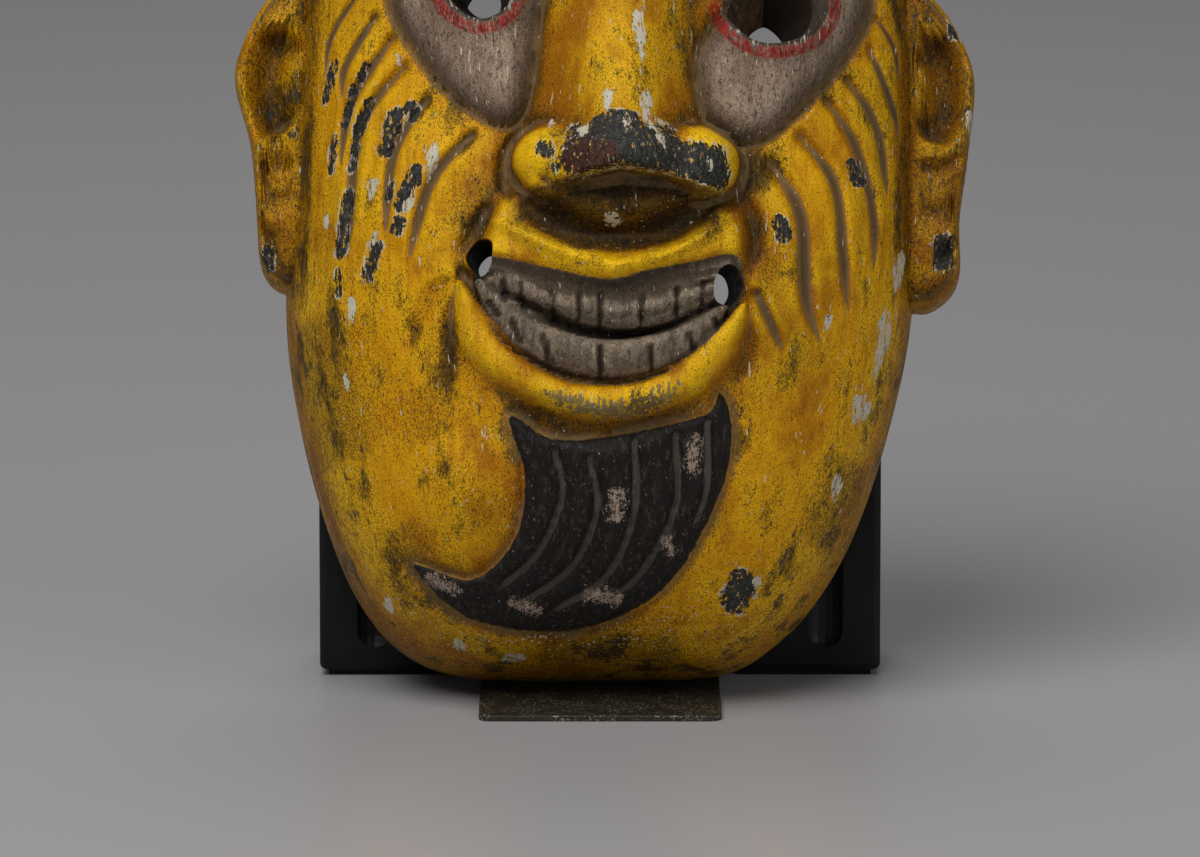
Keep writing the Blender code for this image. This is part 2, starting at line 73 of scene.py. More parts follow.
# Camera: where it looks and from how far, with one picture pixel to each 0.32 mm there
PICTURE = (1200, 857)
TARGET = Vector((0, -0.050, 0.0938))
CAMERA_RISE = math.radians(10)
CAMERA_AWAY = 3.0
PIXELS_PER_METRE = 3125

# Outline of the face
FACE_RIM = [
    (0, 1.2), (38, 2.6), (57, 12.5), (72, 29), (84, 51.5), (94, 82), (101.5, 118), (104, 170),
    (102.5, 220), (95, 262), (76, 300), (42, 324), (0, 330), (-40, 324), (-73, 300), (-91, 262),
    (-98, 220), (-100.5, 170), (-102.4, 120), (-98, 85), (-89, 51), (-77.5, 25), (-62, 8.5), (-40, 1.8),
]
# Eyes: outline of the bulge and the hole, and how the hole drifts and narrows inward
EYES = {
    "left": {
        "bulge": [(-68, 219), (-63, 205), (-50, 187), (-33, 174.5), (-24, 180), (-20, 205), (-20, 222),
                  (-38, 243), (-62, 235)],
        "hole": [(-50, 218), (-44, 210), (-36, 208), (-29, 213), (-30, 222), (-42, 226)],
        "slant": (0.12, -0.15),
        "taper": 0.52,
    },
    "right": {
        "bulge": [(41, 213), (31, 195), (34.5, 176), (47, 168.5), (62, 178), (82, 203), (87, 222),
                  (70, 238), (48, 229)],
        "hole": [(40, 211), (47, 202.5), (56, 200.5), (68, 205), (72, 217), (57, 227), (45, 220)],
        "slant": (-0.16, -0.62),
        "taper": 0.36,
    },
}
# Holes at the corners of the mouth
MOUTH_CORNERS = {
    "left": {"hole": [(-44.5, 134), (-40, 138.5), (-34.5, 136), (-35, 129), (-39, 126), (-43, 129)],
             "slant": (0.25, -0.20), "taper": 0.8},
    "right": {"hole": [(36.5, 119), (37.5, 126), (41.5, 129), (46, 127), (47.5, 121), (43.5, 116)],
              "slant": (-0.30, 0.0), "taper": 0.9},
}
# Wrinkles of the cheeks: the places that each runs through, and its half width
CHEEK_LINES = [
    ([(-71, 213), (-82, 196), (-83, 184)], 1.9),
    ([(-76, 222), (-87, 206), (-89, 192)], 1.3),
    ([(-65, 206), (-80, 184), (-84, 160)], 2.2),
    ([(-60, 197), (-76, 178), (-80, 154), (-81, 128)], 2.4),
    ([(-54, 185), (-66, 166), (-69, 136)], 2.4),
    ([(-39, 173), (-54, 156), (-62, 128)], 2.6),
    ([(86, 204), (95, 183), (96, 172)], 1.9),
    ([(88, 214), (95, 204), (97, 192)], 1.3),
    ([(78, 193), (89, 177), (93, 152)], 2.2),
    ([(71, 186), (82, 170), (88, 148), (88, 126)], 2.4),
    ([(62, 174), (75, 157), (78, 134), (80, 112)], 2.6),
    ([(53, 165), (64, 146), (66, 119), (72, 102)], 3.4),
    ([(49, 122), (54, 112), (59, 101)], 2.2),
]
# Gaps between the teeth, the upper row first
TOOTH_GAPS = [
    [(-31, 125), (-30, 117)],
    [(-25.5, 123.5), (-24, 113.5)],
    [(-15.5, 121.5), (-14.5, 109.5)],
    [(-6.5, 120), (-7, 110)],
    [(0.5, 120), (0, 108)],
    [(13.5, 119.5), (13, 108.5)],
    [(24.5, 122), (24, 111)],
    [(33, 124), (32, 115)],
    [(-36, 118), (-32, 112)],
    [(-28.5, 112), (-25, 103)],
    [(-18.5, 107), (-15.5, 96.5)],
    [(0, 104), (0.5, 91.5)],
    [(15.5, 104), (17, 93)],
    [(27.5, 108), (31, 99)],
    [(36, 113), (38, 108)],
]
# Outline of the beard, and the grooves between its locks
BEARD = [
    (-29, 81), (-16, 74), (2, 74.5), (32.5, 81), (38, 88.5), (42, 78), (38, 56), (20, 27), (-9, 15),
    (-42, 18.5), (-60, 35.5), (-41, 30.3), (-27, 43), (-24, 62),
]
BEARD_LINES = [
    [(-15, 72), (-12, 56), (-20, 38), (-34, 26)],
    [(-4, 70), (-1, 52), (-9, 34), (-28, 21)],
    [(11, 75), (11, 51), (2, 31), (-16, 20)],
    [(24, 77), (24, 52), (13, 32), (4, 25)],
    [(34, 82), (34, 58), (30, 46)],
]
# Edge of the upper gum, and the outline of the grey of the mouth
GUM_EDGE = [(-38, 131), (-21.5, 128.5), (-7, 125), (4, 123.4), (15, 126.3), (29, 129.3), (43.5, 131.8)]
MOUTH_GREY = GUM_EDGE + [
    (45.5, 121), (38, 108), (27, 99), (14, 94), (0, 92), (-17, 96), (-30, 106), (-40, 120),
]
# Ears: outline, scoop, inset panel, dent of the lobe and folds
LEFT_EAR = {
    "rim": [(-94, 233), (-101, 230), (-110, 221), (-117, 207), (-119, 195), (-114, 176), (-112, 156),
            (-110, 134), (-101, 127), (-94, 134), (-93, 180)],
    "scoop": [(-102, 212), (-107, 200), (-107, 186), (-102, 177)],
    "panel": [(-112, 174), (-100, 174), (-100, 154), (-112, 156)],
    "lobe": [(-108, 148), (-105, 134)],
    "folds": [[(-116, 171), (-108, 167), (-98, 169)], [(-112, 158), (-105, 156), (-98, 158)],
              [(-116, 214), (-109, 222), (-99, 224)], [(-109, 168), (-108, 158)]],
}
RIGHT_EAR = {
    "rim": [(97, 232), (106, 226), (115, 215), (122, 197), (120, 173), (117, 150), (117, 132),
            (112, 124), (104, 121), (97, 128), (98, 180)],
    "scoop": [(105, 209), (111, 198), (111, 184), (105, 175)],
    "panel": [(104, 166), (116, 166), (115, 148), (104, 147)],
    "lobe": [(112, 142), (110, 132)],
    "folds": [[(118, 170), (109, 166), (102, 168)], [(117, 155), (110, 152), (103, 154)],
              [(119, 210), (112, 219), (103, 222)], [(108, 143), (112, 138), (116, 142)]],
}
# Broad swells of the face: centre, half widths and height
SWELLS = [
    ((3, 112), (50, 34), 9),
    ((-60, 152), (30, 30), 4),
    ((64, 148), (30, 30), 4),
    ((0, 48), (55, 32), 3),
    ((2, 238), (75, 22), 5),
    ((2, 268), (72, 36), 14),
]
# Paint rubbed down to a dark ground with a pale edge: the run of each place, and its half width
BARE_STROKES = [
    ([(-14, 160), (6, 163), (28, 160)], 9.0),
    ([(4, 176), (6, 160)], 7.8),
    ([(14, 172), (16, 160)], 5.4),
    ([(21, 159), (42, 157)], 7.2),
    ([(-21, 165), (-14, 163)], 2.8),
    ([(-16, 159), (-12, 158)], 2.2),
    ([(-74, 198), (-78, 190)], 1.6),
    ([(-78, 172), (-80, 160)], 1.8),
    ([(-85, 176), (-87, 160)], 1.6),
    ([(-84, 132), (-84, 120)], 1.4),
    ([(-66, 158), (-68, 150)], 1.6),
    ([(-62, 183), (-58, 176)], 2.6),
    ([(-64, 182), (-70, 164)], 3.0),
    ([(-57, 163), (-65, 146)], 3.0),
    ([(-63, 146), (-66, 139)], 2.4),
    ([(-71, 140), (-75, 124)], 2.6),
    ([(-80, 158), (-84, 132)], 2.4),
    ([(-73, 186), (-79, 171)], 2.2),
    ([(-78, 192), (-83, 174)], 1.8),
    ([(-85, 200), (-89, 184)], 1.8),
    ([(80, 166), (84, 156)], 2.6),
    ([(56, 146), (60, 136)], 2.8),
    ([(48, 34), (41, 20)], 4.6),
    ([(112, 213), (122, 209)], 3.2),
    ([(111, 145), (112, 132)], 3.8),
    ([(-109, 142), (-108, 131)], 3.2),
]
# Paint knocked off to the pale priming
PALE_STROKES = [
    ([(12, 214), (13, 196), (13, 184)], 2.0),
    ([(14, 184), (16, 172), (20, 168)], 2.8),
    ([(3, 184), (2, 173)], 1.8),
    ([(-4, 172), (-7, 166)], 1.8),
    ([(-66, 199), (-63, 194)], 1.8),
    ([(-52, 170), (-56, 154)], 2.2),
    ([(-60, 152), (-63, 145)], 1.8),
    ([(-72, 160), (-74, 150)], 1.8),
    ([(-71, 142), (-73, 136)], 1.3),
    ([(-80, 122), (-80, 110)], 1.8),
    ([(-82, 98), (-81, 90)], 1.2),
    ([(-88, 150), (-88, 142)], 1.0),
    ([(-14, 176), (-17, 170)], 1.2),
    ([(8, 176), (9, 166)], 1.3),
    ([(18, 170), (21, 162)], 1.4),
    ([(34, 162), (36, 154)], 1.0),
    ([(98, 140), (95, 122)], 2.0),
    ([(93, 121), (91, 106), (87, 93)], 2.4),
    ([(86, 92), (83, 84), (80, 80)], 3.4),
    ([(74, 116), (72, 108)], 1.3),
    ([(77, 66), (75, 55)], 2.0),
    ([(51, 33), (50, 27)], 1.6),
    ([(0, 143), (9, 142)], 2.2),
    ([(120, 186), (121, 174)], 2.6),
    ([(-48, 12), (-42, 9)], 1.8),
    ([(-33, 6), (-22, 7)], 2.0),
    ([(-70, 27), (-66, 20)], 1.6),
    ([(-98, 86), (-93, 62)], 1.4),
]
# Where dirt has settled
DIRT_PLACES = [
    ([(-88, 118), (-84, 92), (-74, 70)], 19),
    ([(-60, 92), (-52, 74)], 12),
    ([(-66, 48), (-48, 24)], 10),
    ([(-46, 112), (-51, 92)], 8),
    ([(50, 146), (56, 124)], 9),
    ([(46, 166), (52, 152)], 7),
    ([(-36, 158), (-46, 140)], 8),
    ([(-22, 8), (28, 7)], 10),
    ([(-28, 72), (-24, 66)], 6),
    ([(86, 70), (70, 40)], 10),
    ([(-20, 144), (4, 139), (28, 144)], 11),
    ([(-52, 68), (-36, 46)], 10),
]
# Black of the beard rubbed through
BEARD_WEAR = [
    ([(6, 59), (5, 47)], 3.4),
    ([(31, 76), (29, 62)], 3.4),
    ([(-57, 32), (-44, 26)], 2.6),
    ([(-6, 26), (8, 24)], 3.0),
    ([(-30, 24), (-18, 20)], 2.4),
    ([(20, 44), (24, 36)], 2.0),
]


def curve(points, closed=False, steps=6):
    """Places along a smooth curve through the given ones."""
    p = np.array(points, float)
    out = []
    for i in range(len(p) if closed else len(p) - 1):
        b = p[i]
        c = p[(i + 1) % len(p)]
        a = p[i - 1] if closed or i else 2 * b - c
        d = p[(i + 2) % len(p)] if closed or i + 2 < len(p) else 2 * c - b
        for t in np.linspace(0, 1, steps, endpoint=False):
            bend = (2 * a - 5 * b + 4 * c - d) * t**2 + (3 * b - a - 3 * c + d) * t**3
            out.append(0.5 * (2 * b + (c - a) * t + bend))
    if not closed:
        out.append(p[-1])
    return np.array(out)


def rim_radius(rim, centre, bearing):
    """How far a closed outline is from its centre at each bearing."""
    ring = curve(rim, closed=True) - centre
    return np.interp(bearing, np.arctan2(ring[:, 1], ring[:, 0]), np.hypot(*ring.T), period=2 * math.pi)


def measure(x, z, line, reach):
    """Distance to a curve and the share of the way along it, for the places within reach of it."""
    gap = np.full(x.shape, 1e6)
    share = np.zeros(x.shape)
    near = ((x > line[:, 0].min() - reach) & (x < line[:, 0].max() + reach)
            & (z > line[:, 1].min() - reach) & (z < line[:, 1].max() + reach))
    px = x[near]
    pz = z[near]
    best = np.full(px.shape, 1e6)
    where = np.zeros(px.shape)
    start = 0.0
    for (ax, az), (bx, bz) in zip(line, line[1:]):
        run = math.hypot(bx - ax, bz - az)
        t = np.clip(((px - ax) * (bx - ax) + (pz - az) * (bz - az)) / run**2, 0, 1)
        away = np.hypot(px - ax - t * (bx - ax), pz - az - t * (bz - az))
        where = np.where(away < best, start + t * run, where)
        best = np.minimum(away, best)
        start += run
    gap[near] = best
    share[near] = where / start
    return gap, share


def inside(x, z, outline):
    """Distance inside a closed smooth outline, negative outside it."""
    ring = curve(outline, closed=True)
    loop = np.vstack([ring, ring[:1]])
    gap, _ = measure(x, z, loop, 60)
    odd = np.zeros(x.shape, bool)
    for (ax, az), (bx, bz) in zip(loop, loop[1:]):
        if az != bz:
            odd ^= ((az > z) != (bz > z)) & (x < ax + (z - az) * (bx - ax) / (bz - az))
    return np.where(odd, gap, -gap)


def ramp(value, low, high):
    """0 at low, 1 at high, and smooth between."""
    t = np.clip((value - low) / (high - low), 0, 1)
    return t * t * (3 - 2 * t)


def thinning(share, ends):
    """How wide a stroke still is, for strokes that thin toward their ends."""
    return np.clip(share / ends[0], 0, 1) ** 0.6 * np.clip((1 - share) / ends[1], 0, 1) ** 0.6


def stroke(x, z, points, half_width, ends=(0.25, 0.3)):
    """A soft-sided stroke along a curve: 1 on it and 0 at its half width."""
    gap, share = measure(x, z, curve(points), half_width)
    width = thinning(share, ends)
    u = np.clip(gap / np.maximum(half_width * width, 0.01), 0, 1)
    return (1 - u * u) ** 2 * width


def strongest(x, z, strokes, spread=1.0, ends=(0.25, 0.3)):
    """The strongest of several strokes at each place, each given with its half width."""
    return np.max([stroke(x, z, points, spread * width, ends) for points, width in strokes], axis=0)


def roll(x, z, points, half_width, ends=(0.12, 0.12)):
    """A roll along a curve, round in section, and the share of the way along it."""
    gap, share = measure(x, z, curve(points), half_width)
    u = np.clip(gap / np.maximum(half_width * thinning(share, ends), 0.01), 0, 1)
    return (1 - u * u) ** 0.75, share


def swell(x, z, centre, radii, height):
    """A soft round rise."""
    return height * np.exp(-((x - centre[0]) / radii[0]) ** 2 - ((z - centre[1]) / radii[1]) ** 2)


def knob(x, z, centre, radii):
    """Half a ball: 1 in the middle and 0 at its edge."""
    u = ((x - centre[0]) / radii[0]) ** 2 + ((z - centre[1]) / radii[1]) ** 2
    return np.sqrt(np.clip(1 - u, 0, 1))


def joined(a, b, fillet):
    """The higher of two surfaces, with a fillet where they meet."""
    h = np.clip(0.5 + 0.5 * (a - b) / fillet, 0, 1)
    return b + (a - b) * h + fillet * h * (1 - h)


def raised(depth, ground, height, shape, fillet):
    """The surface with a rounded form standing on the ground level, where that is higher."""
    return joined(depth, ground + height * shape - 16 * (1 - shape) ** 4, fillet)


def rim_share(x, z, rim=FACE_RIM, centre=CENTRE):
    """0 at the centre of an outline and 1 on it."""
    bearing = np.arctan2(z - centre[1], x - centre[0])
    reach = np.hypot(x - centre[0], z - centre[1])
    return np.clip(reach / rim_radius(rim, centre, bearing), 0, 1)


def egg(x, z):
    """The egg of the face with its broad swells."""
    share = rim_share(x, z)
    depth = DOME_DEPTH * (1 - share**DOME_ROUNDNESS) ** (1 / DOME_ROUNDNESS)
    swells = sum(swell(x, z, *given) for given in SWELLS)
    return depth + (1 - share**6) * swells


def carve_nose(x, z, depth, ground):
    """A broad ridge that swells to the tip and its wings, cut off sharply below them."""
    level = [138, 144, 150, 156, 161, 168, 186, 213, 232, 250]
    rise = np.interp(z, level, [0, 6, 15, 25, 29, 29.5, 25, 17, 11, 3])
    half = np.interp(z, level, [22, 26, 30, 33, 34, 32, 31, 31, 32, 36])
    u = np.clip(np.abs(x - 6) / half, 0, 1)
    depth = depth + rise * (0.5 + 0.5 * np.cos(math.pi * u)) ** 0.8
    depth = raised(depth, ground, 33, knob(x, z, (6.5, 162), (24, 15)), 6.0)
    for centre, tall in (((-14, 162), 20.5), ((31, 161.5), 21.5)):
        depth = raised(depth, ground, tall, knob(x, z, centre, (15, 13.5)), 9.0)
    depth -= 2.8 * stroke(x, z, [(-12, 174), (-21, 173), (-29, 167), (-31, 157), (-28, 147)], 4)
    depth -= 2.6 * stroke(x, z, [(27, 173), (37, 172), (44, 166), (46, 156), (43, 146)], 4)
    across = [-30, -20, -12, -7, 7, 21, 27, 34, 46]
    edge = np.interp(x, across, [152, 150.5, 152, 156, 158.5, 157, 153, 151, 152])
    under = ramp(edge - z, -0.6, 4.4) * ramp(np.abs(x - 7), 44, 34)
    sunk = ground + 3.0 + 3.5 * knob(x, z, (6.5, 148), (30, 12))
    depth = depth * (1 - under) + np.minimum(depth, sunk) * under
    depth -= 4.5 * stroke(x, z, [(-20, 156), (-14, 152.5), (-9, 153.5)], 3.0)
    return depth - 4.0 * stroke(x, z, [(22, 153), (27, 151.5), (33, 154)], 3.0)


def carve_mouth(x, z, depth, ground):
    """The upper lip's mass, two rows of teeth with the gap between them, and the rolled lower lip."""
    muzzle = [(-30, 152), (-37, 138), (-38, 128), (-18, 113), (0, 109), (16, 109), (40, 120), (47, 140),
              (30, 156), (5, 158)]
    depth = depth + 6.5 * ramp(inside(x, z, muzzle), -2.5, 5.5) * ramp(z, 108, 122)
    depth -= 6.0 * stroke(x, z, [(-27, 149), (-12, 141), (4, 137), (20, 140), (38, 149)], 9.5)
    # The doubled place turns the lip's ridge sharply there
    ridge = [(-36, 144), (-16, 134), (4, 127.3), (4, 127.3), (18, 130.5), (32, 137), (43, 146)]
    depth += 3.0 * stroke(x, z, ridge, 6) + 1.5 * stroke(x, z, ridge, 2.4)
    depth -= 2.6 * ramp(inside(x, z, GUM_EDGE + [(44, 112), (5, 98), (-38, 114)]), -1.5, 2.0)
    depth -= 1.8 * stroke(x, z, [(-34, 127), (-19, 121), (3, 117.2), (29, 121), (42, 126)], 4.0)
    depth -= 1.6 * stroke(x, z, [(-36, 130), (-19, 124), (3, 120.5), (29, 124.5), (43, 128.5)], 3.0)
    row, _ = roll(x, z, [(-37, 124.5), (-25, 118.5), (-18, 115), (7, 112.2), (28, 116), (38, 122)], 5.8)
    depth += 2.8 * row
    gape = [(-44, 130), (-27, 115.5), (0, 108.2), (28, 112), (44, 124), (46, 114), (32, 94), (2, 86.5),
            (-28, 97), (-44.5, 119)]
    opening = ramp(inside(x, z, gape), -1.2, 2.8)
    depth = depth * (1 - opening) + opening * np.minimum(depth, ground - 4.5)
    depth -= 5.0 * stroke(x, z, [(-32, 121), (-6, 108.5), (19, 107.5), (37, 117.5)], 3.2)
    row, _ = roll(x, z, [(-39, 124), (-25, 107.5), (0, 98.5), (25, 103), (40, 116)], 7.8)
    depth = raised(depth, ground - 5.0, 5.8, row, 2.2)
    for points in TOOTH_GAPS:
        depth -= 1.6 * stroke(x, z, points, 1.4, (0.1, 0.1))
    lower_lip = [(-45, 124), (-38, 103), (-17, 88), (5, 84.5), (26, 90.5), (41, 105.5), (46, 117)]
    lip, _ = roll(x, z, lower_lip, 7.0)
    depth = raised(depth, ground - 2.0, 6.5, lip, 3.0)
    return depth - 2.6 * stroke(x, z, [(-36, 91), (-16, 79), (6, 76.5), (36, 87)], 8)


def carve_folds(x, z, depth):
    """Smile folds beside the mouth and the fan of wrinkles over each cheek."""
    folds = [
        ([(-31, 150), (-38, 143), (-47, 128)], 5, 3.0),
        ([(46, 152), (49, 142), (47, 124)], 5, 3.0),
        ([(-47, 126), (-55, 118), (-62, 100)], 5, 2.2),
        ([(-46, 122), (-48, 108), (-48, 84)], 4.5, 2.0),
        ([(47, 112), (47, 100), (42, 90)], 5, 1.8),
    ]
    for points, half_width, cut in folds:
        depth = depth - cut * stroke(x, z, points, half_width)
    fade = 1 - rim_share(x, z) ** 8
    for points, half_width in CHEEK_LINES:
        depth = depth + fade * 1.8 * stroke(x, z, points, 3.0 * half_width)
        depth = depth - fade * 3.9 * stroke(x, z, points, 1.35 * half_width, (0.05, 0.3))
    return depth


def carve_eyes(x, z, depth):
    """Each eye bulges from a crease and has a raised rim round its hole."""
    for eye in EYES.values():
        depth_in = inside(x, z, eye["bulge"])
        bulge = np.sqrt(np.clip(1 - (1 - np.clip(depth_in / 15, 0, 1)) ** 2, 0, 1))
        depth = depth - 3.0 * ramp(depth_in, -3.5, 0.5) + 9.0 * bulge
        around = inside(x, z, eye["hole"])
        depth = depth + 1.4 * ramp(around, -6.5, -3.5)
    return depth


def carve_beard(x, z, depth):
    """A beard that sweeps to one side round a soft swelling, cut with long locks."""
    depth = depth + swell(x, z, (-43, 57), (15, 16), 4.5)
    within = inside(x, z, BEARD)
    depth -= 1.2 * ramp(within, -3.5, -0.5)
    depth += 3.4 * ramp(within, -0.9, 1.2)
    for points in BEARD_LINES:
        lock = 1.1 * stroke(x, z, points, 7, (0.05, 0.1)) - 3.0 * stroke(x, z, points, 2.3, (0.04, 0.1))
        depth += lock * ramp(within, 0.3, 2)
    return depth


def carve_brows(x, z, depth):
    """Arched brows and two wrinkles of the forehead."""
    fade = 1 - rim_share(x, z) ** 8
    for side in (-1, 1):
        arch = [(side * 12 + 3, 238), (side * 40 + 3, 259), (side * 70 + 3, 250), (side * 90 + 3, 220)]
        depth = depth + 5.0 * fade * stroke(x, z, arch, 9)
    for level in (272, 285):
        wave = [(-44, level - 6), (-22, level), (2, level - 5), (26, level), (48, level - 6)]
        depth = depth - 1.8 * fade * stroke(x, z, wave, 3)
    return depth


def unevenness(x, z):
    """The slight waviness that a knife leaves, from a few grids of seeded heights."""
    dice = np.random.default_rng(SEED)
    total = np.zeros(x.shape)
    start = (-160, -40)
    extent = (420, 480)
    for cell, height in ((17.0, 0.45), (7.0, 0.20), (3.4, 0.08)):
        grid = dice.uniform(-1, 1, (int(extent[0] / cell), int(extent[1] / cell)))
        gx = np.clip((x - start[0]) / cell, 0, grid.shape[0] - 1.01)
        gz = np.clip((z - start[1]) / cell, 0, grid.shape[1] - 1.01)
        ix = gx.astype(int)
        iz = gz.astype(int)
        fx = ramp(gx - ix, 0, 1)
        fz = ramp(gz - iz, 0, 1)
        low = grid[ix, iz] * (1 - fx) + grid[ix + 1, iz] * fx
        high = grid[ix, iz + 1] * (1 - fx) + grid[ix + 1, iz + 1] * fx
        total += height * (low * (1 - fz) + high * fz)
    return total


def face_front(x, z):
    """Depth of the carved front of the face."""
    ground = egg(x, z)
    depth = carve_nose(x, z, ground, ground)
    depth = carve_mouth(x, z, depth, ground)
    depth = carve_folds(x, z, depth)
    depth = carve_eyes(x, z, depth)
    depth = carve_beard(x, z, depth)
    depth = depth + (1 - rim_share(x, z) ** 8) * unevenness(x, z)
    return np.maximum(carve_brows(x, z, depth), 0)


def ear_front(ear):
    """Depth of an ear's carved front, as a function of place."""
    height = EAR_DEPTH / CARVING_UNIT
    centre = np.mean(ear["rim"], axis=0)

    def front(x, z):
        share = rim_share(x, z, ear["rim"], centre)
        depth = height * (1 - share**EAR_ROUNDNESS) ** (1 / EAR_ROUNDNESS)
        depth = depth - 11 * stroke(x, z, ear["scoop"], 10, (0.1, 0.1))
        for points in ear["folds"]:
            depth = depth - 2.2 * (1 - ramp(share, 0.60, 0.92)) * stroke(x, z, points, 3.6, (0.2, 0.2))
        depth = depth - 1.2 * ramp(inside(x, z, ear["panel"]), -2.2, 2.2)
        return np.maximum(depth - 4 * stroke(x, z, ear["lobe"], 3.5, (0.2, 0.2)), 0)

    return front


def even_shares(roundness, reach, height, near):
    """Shares of an outline's radius that cut a dome's section into even runs, read at near."""
    turn = np.linspace(0, math.pi / 2, 400)
    out = np.sin(turn) ** (2 / roundness)
    up = np.cos(turn) ** (2 / roundness)
    run = np.concatenate([[0], np.cumsum(np.hypot(np.diff(out) * reach, np.diff(up) * height))])
    return np.interp(near, run / run[-1], out)


def sheet_places(cells, rim, centre, roundness, reach, height):
    """Places of a grid wrapped onto an outline, each with whether it is on the edge."""
    u, v = np.meshgrid(np.linspace(-1, 1, cells[0] + 1), np.linspace(-1, 1, cells[1] + 1))
    a = u * np.sqrt(1 - v**2 / 2)
    b = v * np.sqrt(1 - u**2 / 2)
    radius = np.clip(np.hypot(a, b), 0, 1)
    bearing = np.arctan2(b, a)
    away = even_shares(roundness, reach, height, radius) * rim_radius(rim, centre, bearing)
    x = centre[0] + away * np.cos(bearing)
    z = centre[1] + away * np.sin(bearing)
    return x.ravel(), z.ravel(), radius.ravel() > 1 - 1e-9


def capped_sheet(name, cells, x, depth, z):
    """A closed body from one grid of places, with a flat face across its edge."""
    mesh = bmesh.new()
    bmesh.ops.create_grid(mesh, x_segments=cells[0], y_segments=cells[1], size=1)
    for vertex in mesh.verts:
        column = round((vertex.co.x + 1) / 2 * cells[0])
        row = round((vertex.co.y + 1) / 2 * cells[1])
        i = row * (cells[0] + 1) + column
        vertex.co = Vector((x[i], -depth[i], z[i])) * CARVING_UNIT
    edge = [e for e in mesh.edges if e.is_boundary]
    bmesh.ops.contextual_create(mesh, geom=edge)
    bmesh.ops.recalc_face_normals(mesh, faces=mesh.faces[:])
    return object_of(name, mesh)


def object_of(name, mesh):
    """An object from a bmesh."""
    data = bpy.data.meshes.new(name)
    mesh.to_mesh(data)
    mesh.free()
    item = bpy.data.objects.new(name, data)
    bpy.context.scene.collection.objects.link(item)
    return item


def inset(rim, centre, by):
    """An outline drawn in toward its centre by a width."""
    ring = curve(rim, closed=True, steps=3) - centre
    reach = np.hypot(*ring.T)
    return [tuple(place) for place in centre + ring * ((reach - by) / reach)[:, None]]


INNER_RIM = inset(FACE_RIM, CENTRE, WALL / CARVING_UNIT)
INNER_REACH = FACE_REACH - WALL / CARVING_UNIT
INNER_DEPTH = DOME_DEPTH - FRONT_WALL / CARVING_UNIT


def hollow_depth(x, z):
    """Depth of the hollow behind the face, 0 at its edge."""
    share = rim_share(x, z, INNER_RIM, CENTRE)
    return INNER_DEPTH * (1 - share**DOME_ROUNDNESS) ** (1 / DOME_ROUNDNESS)


def face_body():
    """The face, solid behind, its front carved."""
    x, z, edge = sheet_places(CARVED_CELLS, FACE_RIM, CENTRE, DOME_ROUNDNESS, FACE_REACH, DOME_DEPTH)
    return capped_sheet("carved_mask", CARVED_CELLS, x, np.where(edge, 0, face_front(x, z)), z)


def hollow_cutter():
    """What is taken out behind the face, with the gouge marks of a hand-cut hollow."""
    x, z, edge = sheet_places(HOLLOW_CELLS, INNER_RIM, CENTRE, DOME_ROUNDNESS, INNER_REACH, INNER_DEPTH)
    gouges = 1.2 * unevenness(z * 0.7 + 20, x * 1.6 + 160) * (1 - rim_share(x, z) ** 6)
    behind_back = -4
    depth = np.where(edge, behind_back, hollow_depth(x, z) + gouges)
    return capped_sheet("hollow_cutter", HOLLOW_CELLS, x, depth, z)


def ear_body(name, ear):
    """An ear with a flat back, which a union joins to the face's wall."""
    centre = tuple(np.mean(ear["rim"], axis=0))
    reach = 30
    # Lower than the ear is, which puts more of the cells on its front
    height = 14
    x, z, edge = sheet_places(EAR_CELLS, ear["rim"], centre, EAR_ROUNDNESS, reach, height)
    front = np.maximum(ear_front(ear)(x, z), EAR_BACK + 0.5)
    return capped_sheet(name, EAR_CELLS, x, np.where(edge, EAR_BACK, front), z)


def tunnel(name, hole, slant, taper):
    """A cutter through the face's wall that narrows and drifts sideways as it goes in."""
    ring = curve(hole, closed=True)
    centre = ring.mean(axis=0)
    outer_depth = float(egg(np.array([centre[0]]), np.array([centre[1]]))[0])
    margin = HOLE_MARGIN / CARVING_UNIT
    mesh = bmesh.new()
    sections = []
    # Levels from the uncarved surface, each with the share of the hole's size there
    for level, share in ((-margin - 14, taper), (-12, taper), (6, 1), (margin, 1)):
        places = centre + (ring - centre) * share - min(level, 0) * np.array(slant)
        depth = outer_depth + level
        sections.append([mesh.verts.new(Vector((x, -depth, z)) * CARVING_UNIT) for x, z in places])
    mesh.faces.new(sections[0])
    mesh.faces.new(sections[-1])
    for low, high in zip(sections, sections[1:]):
        for i in range(len(ring)):
            j = (i + 1) % len(ring)
            mesh.faces.new([low[i], low[j], high[j], high[i]])
    bmesh.ops.recalc_face_normals(mesh, faces=mesh.faces[:])
    return object_of(name, mesh)


def combine(target, tools, operation):
    """Joins or cuts with other closed bodies, and removes them."""
    for tool in tools:
        change = target.modifiers.new(tool.name, "BOOLEAN")
        change.operation = operation
        change.solver = "MANIFOLD"
        change.object = tool
    graph = bpy.context.evaluated_depsgraph_get()
    graph.update()
    joined_mesh = bpy.data.meshes.new_from_object(target.evaluated_get(graph))
    target.modifiers.clear()
    target.data = joined_mesh
    for tool in tools:
        bpy.data.objects.remove(tool)


def smooth_levels(values, cells):
    """A grid of heights averaged over a square of the given half width."""
    for axis in (0, 1):
        margins = [(cells + 1, cells) if i == axis else (0, 0) for i in (0, 1)]
        padded = np.pad(values, margins, mode="edge")
        total = np.cumsum(padded, axis=axis)
        span = 2 * cells + 1
        high = np.take(total, range(span, total.shape[axis]), axis=axis)
        low = np.take(total, range(0, total.shape[axis] - span), axis=axis)
        values = (high - low) / span
    return values


